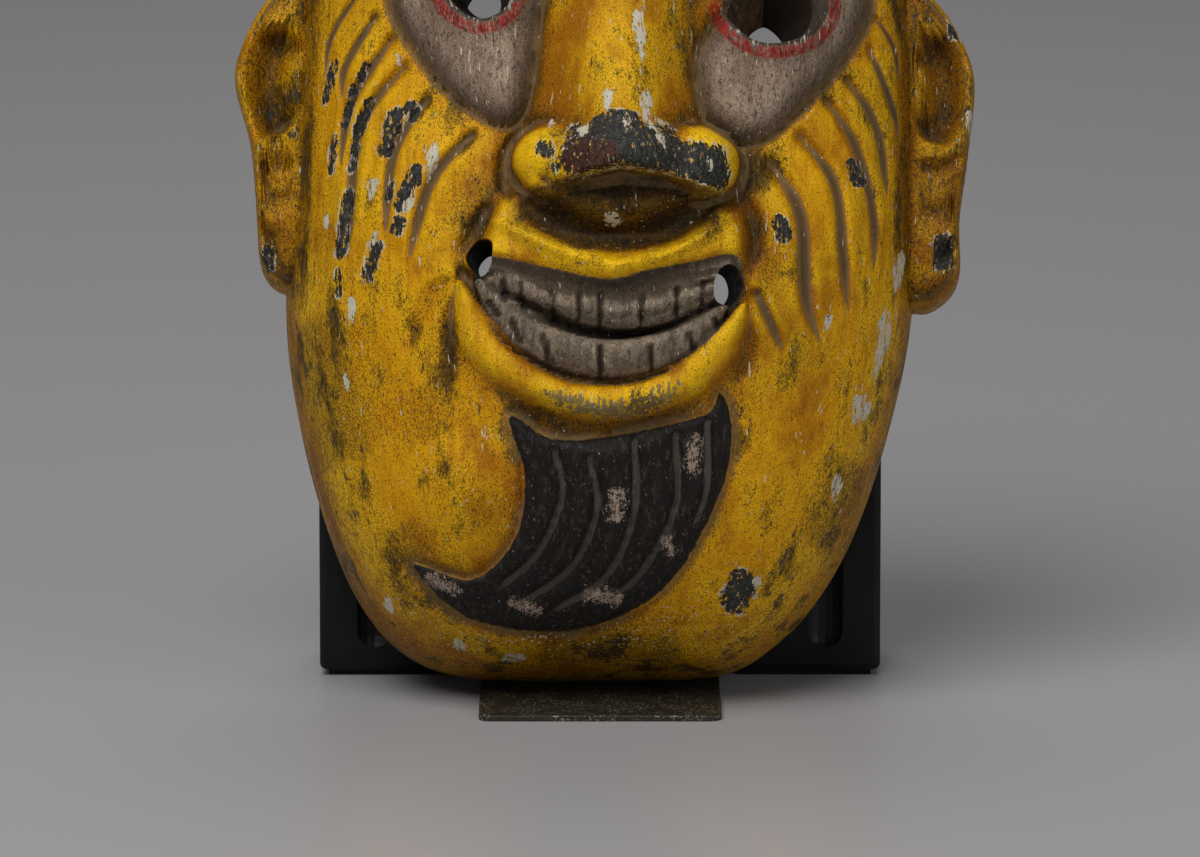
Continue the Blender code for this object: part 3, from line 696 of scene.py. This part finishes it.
def read_levels(values, x, z):
    """A grid of one value to each carving unit, read at the given places."""
    gx = np.clip(x - LEVELS_START[0], 0, values.shape[0] - 1.01)
    gz = np.clip(z - LEVELS_START[1], 0, values.shape[1] - 1.01)
    ix = gx.astype(int)
    iz = gz.astype(int)
    fx = gx - ix
    fz = gz - iz
    low = values[ix, iz] * (1 - fx) + values[ix + 1, iz] * fx
    high = values[ix, iz + 1] * (1 - fx) + values[ix + 1, iz + 1] * fx
    return low * (1 - fz) + high * fz


def paint_guides(mesh):
    """Stores on each vertex how far it is from each paint's edge, and how hollow it lies."""
    places = np.zeros(len(mesh.vertices) * 3)
    mesh.vertices.foreach_get("co", places)
    x, back, z = places.reshape(-1, 3).T / CARVING_UNIT
    depth = -back
    columns = np.arange(LEVELS_START[0], LEVELS_END[0] + 1.0)
    rows = np.arange(LEVELS_START[1], LEVELS_END[1] + 1.0)
    gx, gz = np.meshgrid(columns, rows, indexing="ij")
    levels = face_front(gx, gz)
    ear_levels = np.full(gx.shape, EAR_DEPTH / CARVING_UNIT)
    for ear in (LEFT_EAR, RIGHT_EAR):
        within = inside(gx, gz, ear["rim"])
        carved = ear_front(ear)(gx, gz)
        levels = np.maximum(levels, np.where(within > 0, carved, 0))
        ear_levels = np.where(within > 2.5, carved, ear_levels)
    face_fine = read_levels(levels - smooth_levels(levels, 2), x, z)
    face_wide = read_levels(levels - smooth_levels(levels, 9), x, z)
    ear_fine = read_levels(ear_levels - smooth_levels(ear_levels, 2), x, z)
    ear_wide = read_levels(ear_levels - smooth_levels(ear_levels, 7), x, z)
    share = rim_share(x, z)
    inner = 1 - ramp(share, 0.90, 0.985)
    on_ear = share >= 0.985
    facing = np.where(on_ear, ramp(depth, 17, 25), 1 - ramp(share, 0.95, 0.985))
    nose_edge = np.interp(x, [-30, -7, 7, 21, 40], [152, 156, 158.5, 157, 152])
    bare = [min(1.8, 0.66 + 0.16 * width) * stroke(x, z, points, 1.65 * width, (0.16, 0.16))
            for points, width in BARE_STROKES]
    brows = []
    for side in (-1, 1):
        arch = [(side * 14 + 3, 240), (side * 40 + 3, 259), (side * 70 + 3, 250), (side * 89 + 3, 221)]
        brows.append((arch, 8))
    guides = {
        "beard": inside(x, z, BEARD),
        "eye": np.maximum(inside(x, z, EYES["left"]["bulge"]), inside(x, z, EYES["right"]["bulge"])),
        "eye_hole": np.maximum(inside(x, z, EYES["left"]["hole"]), inside(x, z, EYES["right"]["hole"])),
        "mouth": inside(x, z, MOUTH_GREY),
        "hollow_fine": np.where(on_ear, 0.6 * ear_fine, face_fine * inner),
        "hollow_wide": np.where(on_ear, 0.5 * ear_wide, face_wide * inner),
        "soiled": strongest(x, z, DIRT_PLACES, 1.5, (0.1, 0.1)) * facing,
        # Painted shade under the nose's lower edge, with grime there too
        "under_nose_shade_and_grime": ramp(np.abs(x - 6), 38, 28) * ramp(z, 130, 150) * ramp(nose_edge - z, -0.5, 2),
        "ear": ramp(depth, 6, 12) * (share > 0.97),
        "lip_wear": stroke(x, z, [(-22, 90), (-6, 84), (12, 83), (30, 92)], 6, (0.2, 0.2)),
        "rim": share,
        "foot": ramp(z, 34, 6) * inner,
        "rubbed": strongest(x, z, BEARD_WEAR, 1.5, (0.1, 0.1)),
        "creases": strongest(x, z, CHEEK_LINES),
        "bare": np.max(bare, axis=0) * facing,
        "pale": strongest(x, z, PALE_STROKES, 1.7, (0.25, 0.5)) * facing,
        "tooth_gaps": strongest(x, z, [(points, 1.9) for points in TOOTH_GAPS], 1, (0.1, 0.1)),
        "brown_wood": stroke(x, z, [(-14, 160), (8, 160)], 11),
        "brow": strongest(x, z, brows, 1, (0.2, 0.3)),
    }
    guides["bare"] *= 1 - guides["under_nose_shade_and_grime"]
    in_hollow = (rim_share(x, z, INNER_RIM, CENTRE) < 1) & (depth < hollow_depth(x, z) + 2.5)
    holes = (*EYES.values(), *MOUTH_CORNERS.values())
    near_hole = np.max([inside(x, z, hole["hole"]) for hole in holes], axis=0) > -12
    in_wall = (depth < face_front(x, z) - 2.5) & (share < 0.9) & ~in_hollow
    guides["wood"] = np.where(in_hollow | (depth < 0.4), 1.0, 0.0)
    guides["tunnel"] = np.where(in_wall & near_hole, 1.0, 0.0)
    for name, values in guides.items():
        mesh.attributes.new(name, "FLOAT", "POINT").data.foreach_set("value", values.astype(np.float32))


def tint(red, green, blue):
    """A colour given as a screen shows it, as light."""
    shown = [c / 255 for c in (red, green, blue)]
    return tuple(c / 12.92 if c <= 0.04045 else ((c + 0.055) / 1.055) ** 2.4 for c in shown)


class Surface:
    """A material put together from shader nodes."""

    def __init__(self, name):
        self.material = bpy.data.materials.new(name)
        self.material.use_nodes = True
        self.tree = self.material.node_tree
        self.shader = self.tree.nodes["Principled BSDF"]
        place = self.tree.nodes.new("ShaderNodeTexCoord").outputs["Object"]
        upright = self.tree.nodes.new("ShaderNodeMapping")
        upright.inputs["Rotation"].default_value = (LEAN, 0, 0)
        self.tree.links.new(place, upright.inputs["Vector"])
        self.place = self.vector("SCALE", upright.outputs["Vector"], 1 / CARVING_UNIT)

    def set(self, socket, value):
        """Links a socket, or writes its value."""
        if isinstance(value, bpy.types.NodeSocket):
            self.tree.links.new(value, socket)
        elif isinstance(value, tuple) and len(value) == 3 and socket.type == "RGBA":
            socket.default_value = (*value, 1)
        else:
            socket.default_value = value

    def vector(self, operation, value, by):
        """A vector changed by a number or another vector."""
        node = self.tree.nodes.new("ShaderNodeVectorMath")
        node.operation = operation
        self.set(node.inputs[0], value)
        self.set(node.inputs["Scale" if operation == "SCALE" else 1], by)
        return node.outputs[0]

    def math(self, operation, a, b):
        """Two numbers put together."""
        node = self.tree.nodes.new("ShaderNodeMath")
        node.operation = operation
        for socket, value in zip(node.inputs, (a, b)):
            self.set(socket, value)
        return node.outputs[0]

    def times(self, a, b):
        """Two numbers multiplied."""
        return self.math("MULTIPLY", a, b)

    def plus(self, *terms):
        """The sum of several numbers."""
        total = terms[0]
        for term in terms[1:]:
            total = self.math("ADD", total, term)
        return total

    def about(self, value, by):
        """A noise as a swing round zero."""
        return self.times(self.math("SUBTRACT", value, 0.5), by)

    def band(self, value, low, high, to_low=0.0, to_high=1.0):
        """A smooth change from one value to another as the input runs from low to high."""
        node = self.tree.nodes.new("ShaderNodeMapRange")
        node.interpolation_type = "SMOOTHSTEP"
        for socket, given in zip(node.inputs, (value, low, high, to_low, to_high)):
            self.set(socket, given)
        return node.outputs[0]

    def mix(self, share, a, b):
        """Two colours mixed."""
        node = self.tree.nodes.new("ShaderNodeMix")
        node.data_type = "RGBA"
        for socket, value in ((node.inputs[0], share), (node.inputs[6], a), (node.inputs[7], b)):
            self.set(socket, value)
        return node.outputs[2]

    def noise(self, size, stretch=(1.0, 1.0, 1.0), detail=3.0, roughness=0.55):
        """A noise whose blots are about size carving units across."""
        node = self.tree.nodes.new("ShaderNodeTexNoise")
        self.set(node.inputs["Vector"], self.vector("MULTIPLY", self.place, stretch))
        node.inputs["Scale"].default_value = 1 / size
        node.inputs["Detail"].default_value = detail
        node.inputs["Roughness"].default_value = roughness
        return node.outputs["Fac"]

    def guide(self, name):
        """A value stored on the mesh."""
        node = self.tree.nodes.new("ShaderNodeAttribute")
        node.attribute_name = name
        return node.outputs["Fac"]

    def bump(self, height, distance, strength=1.0):
        """A fine relief in the shading."""
        node = self.tree.nodes.new("ShaderNodeBump")
        node.inputs["Strength"].default_value = strength
        node.inputs["Distance"].default_value = distance
        self.set(node.inputs["Height"], height)
        return node.outputs["Normal"]

    def finish(self, colour, roughness, normal=None):
        """The finished material."""
        self.set(self.shader.inputs["Base Color"], colour)
        self.set(self.shader.inputs["Roughness"], roughness)
        if normal is not None:
            self.set(self.shader.inputs["Normal"], normal)
        return self.material


# Colours of the paint, the wood, the dirt and the painted shade
OCHRE = tint(214, 149, 2)
BRIGHT = tint(250, 198, 20)
DEEP = tint(164, 102, 1)
OLIVE = tint(86, 62, 6)
# Soot-dark specks, and painted shade in creases, gaps and hollows
SOOT_AND_SHADE = tint(32, 27, 20)
STAIN = tint(70, 46, 10)
# Painted shade and grime under the nose
UNDER_NOSE_SHADE_AND_GRIME = tint(84, 56, 8)
DUST = tint(124, 100, 66)
PRIMING = tint(206, 198, 176)
SLATE = tint(58, 60, 58)
BROWN = tint(78, 48, 38)
EYE_GREY = tint(140, 118, 100)
EYE_PALE = tint(184, 160, 138)
EYE_SHADE = tint(84, 66, 48)
TOOTH = tint(146, 130, 110)
# Dark grey blots, and painted shade in the mouth's hollows
DARK_GREY_AND_SHADE = tint(84, 70, 56)
RIM_RED = tint(150, 30, 26)
BEARD_BLACK = tint(28, 25, 23)
BEARD_GREY = tint(88, 82, 74)
BEARD_WORN = tint(178, 156, 138)
LIP_WORN = tint(104, 102, 84)
WOOD = tint(112, 82, 54)
WOOD_DARK = tint(66, 47, 32)
TUNNEL_WALL = tint(40, 32, 26)
BROW_RED = tint(166, 62, 28)


def mask_paint():
    """Old ochre paint on wood, with dirt and painted shade in the hollows, and a painted highlight and
    wear on the heights.
    """
    s = Surface("worn_paint")
    broad = s.noise(50, (1, 1, 0.7))
    blots = s.noise(13, (1, 1, 0.6), 5, 0.6)
    grain = s.noise(3.2, (1.4, 1.4, 0.5), 5, 0.65)
    ragged = s.noise(2.2, (1.5, 1.5, 0.45), 4, 0.7)
    speck = s.noise(1.2, (1.2, 1.2, 0.6), 3, 0.65)
    fine = s.noise(0.5, (1, 1, 0.8), 3, 0.7)
    drip = s.noise(4.0, (1.8, 1.8, 0.10), 4, 0.6)
    torn = s.noise(2.8, (1.7, 1.7, 0.36), 5, 0.7)
    wide = s.guide("hollow_wide")
    close = s.guide("hollow_fine")
    times = s.times
    plus = s.plus
    about = s.about

    def over(colour, share, strength, paint):
        """A paint laid over a colour, where and as strongly as given."""
        return s.mix(times(share, strength), colour, paint)

    # Dirt and painted shade, and the ochre under it
    # Painted shade and settled dirt together: darker olive in the broad hollows
    low = s.band(wide, 1.5, -4.5)
    # Painted shade: darker toward the face's edges, where the dome turns away from the light, the
    # chin's underside too
    side = s.band(s.guide("rim"), 0.74, 0.99)
    # Random blots, the soiled places and the ears are dirt; the hollows, the edges and the underside of
    # the nose add painted shade
    dirt_and_shade = plus(times(low, 0.75), times(s.band(blots, 0.48, 0.70), 0.55), times(side, 0.30),
                times(s.guide("ear"), 0.02), times(s.guide("soiled"), 0.30),
                times(s.guide("under_nose_shade_and_grime"), 0.55))

    colour = s.mix(s.band(plus(broad, about(blots, 0.5)), 0.40, 0.60), DEEP, OCHRE)
    # Painted highlight: brighter ochre on the raised places, mixed with random blots
    height = plus(times(wide, 0.11), about(blots, 1.4))
    colour = over(colour, s.band(height, -0.2, 0.5), 0.90, BRIGHT)
    colour = over(colour, s.band(drip, 0.50, 0.68), 0.40, DEEP)
    # Painted shade and grime under the nose
    colour = over(colour, s.guide("under_nose_shade_and_grime"), 0.60, UNDER_NOSE_SHADE_AND_GRIME)
    # Olive laid where the dirt and the painted shade are strong
    colour = over(colour, s.band(dirt_and_shade, 0.22, 1.00), 0.82, OLIVE)
    colour = over(colour, s.band(plus(fine, times(dirt_and_shade, 0.20)), 0.55, 0.64), 0.72, STAIN)
    colour = over(colour, s.band(plus(speck, times(dirt_and_shade, 0.16)), 0.64, 0.72), 0.75, SOOT_AND_SHADE)
    colour = over(colour, s.band(plus(grain, times(dirt_and_shade, 0.14)), 0.66, 0.76), 0.60, SOOT_AND_SHADE)
    colour = over(colour, s.band(fine, 0.37, 0.28), 0.45, BRIGHT)

    # Dust in the wrinkles and other close hollows, and painted shade along the wrinkles' floors
    groove = plus(s.band(s.guide("creases"), 0.12, 0.55), about(grain, 0.9))
    colour = over(colour, s.band(groove, 0.35, 0.75), 0.85, DUST)
    # Painted shade: a dark line along each wrinkle's floor
    colour = over(colour, s.band(s.guide("creases"), 0.55, 0.95), 0.55, SOOT_AND_SHADE)
    dust = times(s.band(close, -0.3, -1.2), s.band(blots, 0.30, 0.55))
    colour = over(colour, dust, 0.75, DUST)

    # Grey eyes
    eye = plus(s.guide("eye"), about(grain, 2.0))
    # Paler toward the bulge's crown as a painted highlight, mottled by random blots; painted shade
    # darkens its edge
    grey = s.mix(s.band(plus(blots, times(wide, 0.05)), 0.42, 0.78), EYE_GREY, EYE_PALE)
    grey = over(grey, s.band(s.guide("eye"), 8.5, 1.5), 0.70, EYE_SHADE)
    grey = over(grey, s.band(drip, 0.50, 0.66), 0.35, EYE_SHADE)
    grey = over(grey, s.band(fine, 0.50, 0.64), 0.65, SOOT_AND_SHADE)
    grey = over(grey, s.band(speck, 0.54, 0.66), 0.65, SOOT_AND_SHADE)
    grey = over(grey, s.band(torn, 0.38, 0.30), 0.45, PRIMING)
    grey = over(grey, s.band(ragged, 0.58, 0.66), 0.60, SLATE)
    grey = over(grey, s.band(speck, 0.34, 0.26), 0.70, PRIMING)
    colour = s.mix(s.band(eye, -0.4, 0.8), colour, grey)
    colour = over(colour, times(s.band(eye, -2.8, -1.0), s.band(eye, 2.0, 0.2)), 0.60, DUST)

    # Grey gums and teeth with painted shade in their hollows and gaps, and the worn lower lip
    mouth = plus(s.guide("mouth"), about(grain, 1.4))
    # Painted shade: darker grey in the mouth's hollows, paler on the teeth, and near black deeper in
    # the hollows
    bone = s.mix(s.band(close, -0.2, 0.5), DARK_GREY_AND_SHADE, TOOTH)
    bone = over(bone, s.band(close, -0.2, -0.9), 0.85, SOOT_AND_SHADE)
    bone = over(bone, s.band(grain, 0.44, 0.62), 0.60, DARK_GREY_AND_SHADE)
    bone = over(bone, s.band(fine, 0.48, 0.64), 0.60, SOOT_AND_SHADE)
    bone = over(bone, s.band(speck, 0.58, 0.68), 0.60, SOOT_AND_SHADE)
    bone = over(bone, s.band(drip, 0.54, 0.64), 0.40, SOOT_AND_SHADE)
    # Painted shade in the gaps between the teeth
    bone = over(bone, s.band(plus(s.guide("tooth_gaps"), about(grain, 1.1)), 0.25, 1.0), 0.50, SOOT_AND_SHADE)
    bone = over(bone, s.band(fine, 0.34, 0.26), 0.45, EYE_PALE)
    colour = s.mix(s.band(mouth, -0.3, 0.5), colour, bone)
    worn = plus(s.guide("lip_wear"), about(ragged, 3.4), about(speck, 1.2))
    under_paint = s.mix(s.band(blots, 0.44, 0.56), LIP_WORN, SLATE)
    colour = over(colour, s.band(worn, 0.62, 0.82), 0.80, under_paint)

    # Black and red rims of the eye holes, and the brows
    hole = plus(s.guide("eye_hole"), about(grain, 2.4))
    inner_lip = s.band(hole, -2.0, -0.6)
    colour = over(colour, inner_lip, 0.80, SOOT_AND_SHADE)
    edge = times(inner_lip, s.band(hole, 1.4, 0.2))
    primed = times(edge, s.band(plus(speck, about(grain, 0.9)), 0.56, 0.66))
    colour = over(colour, primed, 0.60, PRIMING)
    ring = times(s.band(hole, -5.4, -4.4), s.band(hole, -0.9, -1.9))
    red = times(ring, s.band(plus(speck, about(grain, 0.6)), 0.62, 0.48))
    colour = over(colour, red, 0.90, RIM_RED)
    colour = over(colour, times(ring, s.band(ragged, 0.52, 0.60)), 0.60, SOOT_AND_SHADE)
    brow = times(s.band(s.guide("brow"), 0.25, 0.5), s.band(grain, 0.62, 0.50))
    colour = s.mix(brow, colour, BROW_RED)

    # Small flecks and drops all over
    fleck = s.band(plus(torn, about(blots, 0.30), times(side, 0.06)), 0.66, 0.68)
    colour = over(colour, fleck, 0.85, SLATE)
    tick = plus(s.noise(2.0, (2.0, 2.0, 0.25), 2, 0.5), times(s.guide("foot"), 0.08))
    colour = over(colour, s.band(tick, 0.70, 0.72), 0.85, PRIMING)

    # Black beard, rubbed through in places
    beard = plus(s.guide("beard"), about(grain, 1.6))
    black = s.mix(s.band(plus(close, about(grain, 0.5)), 0.0, -0.95), BEARD_BLACK, BEARD_GREY)
    black = over(black, s.band(torn, 0.52, 0.66), 0.35, BEARD_GREY)
    rubbed = plus(s.guide("rubbed"), about(ragged, 2.2), about(fine, 3.4), about(speck, 2.0))
    black = over(black, s.band(rubbed, 0.66, 0.96), 0.75, BEARD_WORN)
    black = over(black, s.band(speck, 0.29, 0.24), 0.60, BEARD_WORN)
    skirt = times(s.band(beard, -3.6, -1.8), s.band(blots, 0.42, 0.54))
    colour = over(colour, skirt, 0.40, DUST)
    colour = s.mix(s.band(beard, -0.3, 0.3), colour, black)

    # Bare places with a pale edge, and places down to the priming
    uneven = plus(1.0, about(torn, 2.6), about(ragged, 3.0), about(speck, 2.8), about(fine, 1.0))
    chip = times(s.guide("bare"), uneven)
    core = s.band(chip, 0.56, 0.62)
    ground = s.mix(s.band(plus(s.guide("brown_wood"), about(ragged, 1.6)), 0.35, 0.55), SLATE, BROWN)
    ground = over(ground, s.band(speck, 0.44, 0.58), 0.75, SOOT_AND_SHADE)
    ground = over(ground, s.band(fine, 0.36, 0.30), 0.55, PRIMING)
    ground = over(ground, s.band(ragged, 0.36, 0.31), 0.70, PRIMING)
    colour = over(colour, times(s.band(chip, 0.26, 0.34), s.band(grain, 0.50, 0.56)), 0.85, PRIMING)
    colour = s.mix(core, colour, ground)
    flake = times(s.guide("pale"), plus(1.0, about(torn, 5.0), about(ragged, 3.0), about(speck, 1.6)))
    lost = s.band(flake, 0.52, 0.57)
    colour = s.mix(lost, colour, s.mix(s.band(speck, 0.60, 0.68), PRIMING, SLATE))

    # Wood behind, and the walls of the holes
    bare_wood = s.mix(s.band(drip, 0.35, 0.65), WOOD, WOOD_DARK)
    colour = s.mix(s.guide("wood"), colour, bare_wood)
    colour = s.mix(s.band(s.guide("tunnel"), 0.04, 0.16), colour, TUNNEL_WALL)

    rough = plus(s.band(grain, 0.3, 0.7, 0.40, 0.60), times(s.guide("wood"), 0.25))
    relief = plus(times(grain, 0.6), times(speck, 0.35), times(fine, 0.42),
                  times(plus(core, lost, fleck), -0.35))
    s.shader.inputs["Specular IOR Level"].default_value = 0.14
    return s.finish(colour, rough, s.bump(relief, 0.0007, 0.85))


def block_paint():
    """Satin black, very slightly dusty."""
    s = Surface("satin_black")
    blots = s.noise(18, detail=4)
    grain = s.noise(0.8, detail=2)
    colour = s.mix(s.band(blots, 0.4, 0.7), tint(10, 10, 11), tint(18, 18, 19))
    s.shader.inputs["Specular IOR Level"].default_value = 0.25
    return s.finish(colour, s.band(grain, 0.3, 0.7, 0.42, 0.55), s.bump(grain, 0.0001, 0.3))


def plate_paint():
    """A dark wrinkle finish on steel with paler worn grains."""
    s = Surface("wrinkle_finish")
    wrinkle = s.noise(0.9, detail=3, roughness=0.7)
    patch = s.noise(9, detail=3)
    colour = s.mix(s.band(wrinkle, 0.5, 0.66), tint(36, 33, 28), tint(150, 140, 112))
    colour = s.mix(s.band(patch, 0.45, 0.65), colour, tint(48, 42, 32))
    s.shader.inputs["Metallic"].default_value = 0.35
    return s.finish(colour, s.band(wrinkle, 0.3, 0.7, 0.55, 0.35), s.bump(wrinkle, 0.0004, 0.8))


def make_mask():
    """The carved and painted mask, placed where it leans."""
    mask = face_body()
    ears = [ear_body("left_ear_shape", LEFT_EAR), ear_body("right_ear_shape", RIGHT_EAR)]
    combine(mask, ears, "UNION")
    cutters = [hollow_cutter()]
    for kind, holes in (("eye", EYES), ("mouth", MOUTH_CORNERS)):
        for side, hole in holes.items():
            cutters.append(tunnel(f"{side}_{kind}_cutter", hole["hole"], hole["slant"], hole["taper"]))
    combine(mask, cutters, "DIFFERENCE")
    mask.data.shade_smooth()
    mask.data.set_sharp_from_angle(angle=math.radians(60))
    paint_guides(mask.data)
    mask.data.materials.clear()
    mask.data.materials.append(mask_paint())
    mask.data.transform(Matrix.Translation((0, CHIN_Y, CHIN_Z)) @ Matrix.Rotation(-LEAN, 4, "X"))
    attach(mask, "root")
    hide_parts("mask")


def dress(node, material):
    """Gives a carried-over solid its finish."""
    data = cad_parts[node].data
    data.materials.clear()
    data.materials.append(material)


def make_stage():
    """A plain pale floor that curves up into a backdrop."""
    mesh = bmesh.new()
    rows = []
    half_width = 6.0
    turn_y = 5.0
    radius = 1.0
    top = 5.0
    section = [(-half_width, 0.0), (turn_y, 0.0)]
    for turn in np.linspace(0.1, math.pi / 2, 12):
        section.append((turn_y + radius * math.sin(turn), radius * (1 - math.cos(turn))))
    section.append((turn_y + radius, top))
    for y, z in section:
        rows.append([mesh.verts.new((x, y, z)) for x in (-half_width, half_width)])
    for low, high in zip(rows, rows[1:]):
        mesh.faces.new([low[0], low[1], high[1], high[0]])
    floor = object_of("floor", mesh)
    floor.data.shade_smooth()
    paper = Surface("pale_floor")
    floor.data.materials.append(paper.finish(tint(168, 166, 167), 0.30))


def lamp(name, place, size, power, aim=(0, -0.05, 0.17)):
    """A soft square light turned to the mask."""
    light = bpy.data.lights.new(name, "AREA")
    light.size = size
    light.energy = power
    item = bpy.data.objects.new(name, light)
    item.location = place
    item.rotation_euler = (Vector(aim) - Vector(place)).to_track_quat("-Z", "Y").to_euler()
    bpy.context.scene.collection.objects.link(item)


def make_lights():
    """Soft studio light with a dim even surround."""
    lamp("key", (-0.65, -1.25, 2.0), 1.6, 46)
    lamp("fill", (1.6, -1.4, 0.9), 1.2, 9)
    lamp("top", (0.0, 1.5, 2.1), 1.4, 15, (0, 1.0, 0))
    world = bpy.data.worlds.new("studio")
    world.use_nodes = True
    surround = world.node_tree.nodes["Background"]
    surround.inputs["Color"].default_value = (0.8, 0.8, 0.82, 1)
    surround.inputs["Strength"].default_value = 0.13
    bpy.context.scene.world = world
    bpy.context.scene.view_settings.view_transform = "Standard"


def make_camera():
    """A long lens a little above the mask's middle, tipped down."""
    lens = bpy.data.cameras.new("camera")
    lens.sensor_width = 36
    lens.lens = lens.sensor_width * PIXELS_PER_METRE * CAMERA_AWAY / PICTURE[0]
    camera = bpy.data.objects.new("camera", lens)
    sight = Vector((0, math.cos(CAMERA_RISE), -math.sin(CAMERA_RISE)))
    camera.location = TARGET - CAMERA_AWAY * sight
    camera.rotation_euler = sight.to_track_quat("-Z", "Y").to_euler()
    bpy.context.scene.collection.objects.link(camera)
    bpy.context.scene.camera = camera


make_camera()
make_lights()
make_stage()
make_mask()
dress("stand_back", block_paint())
dress("foot_plate", plate_paint())
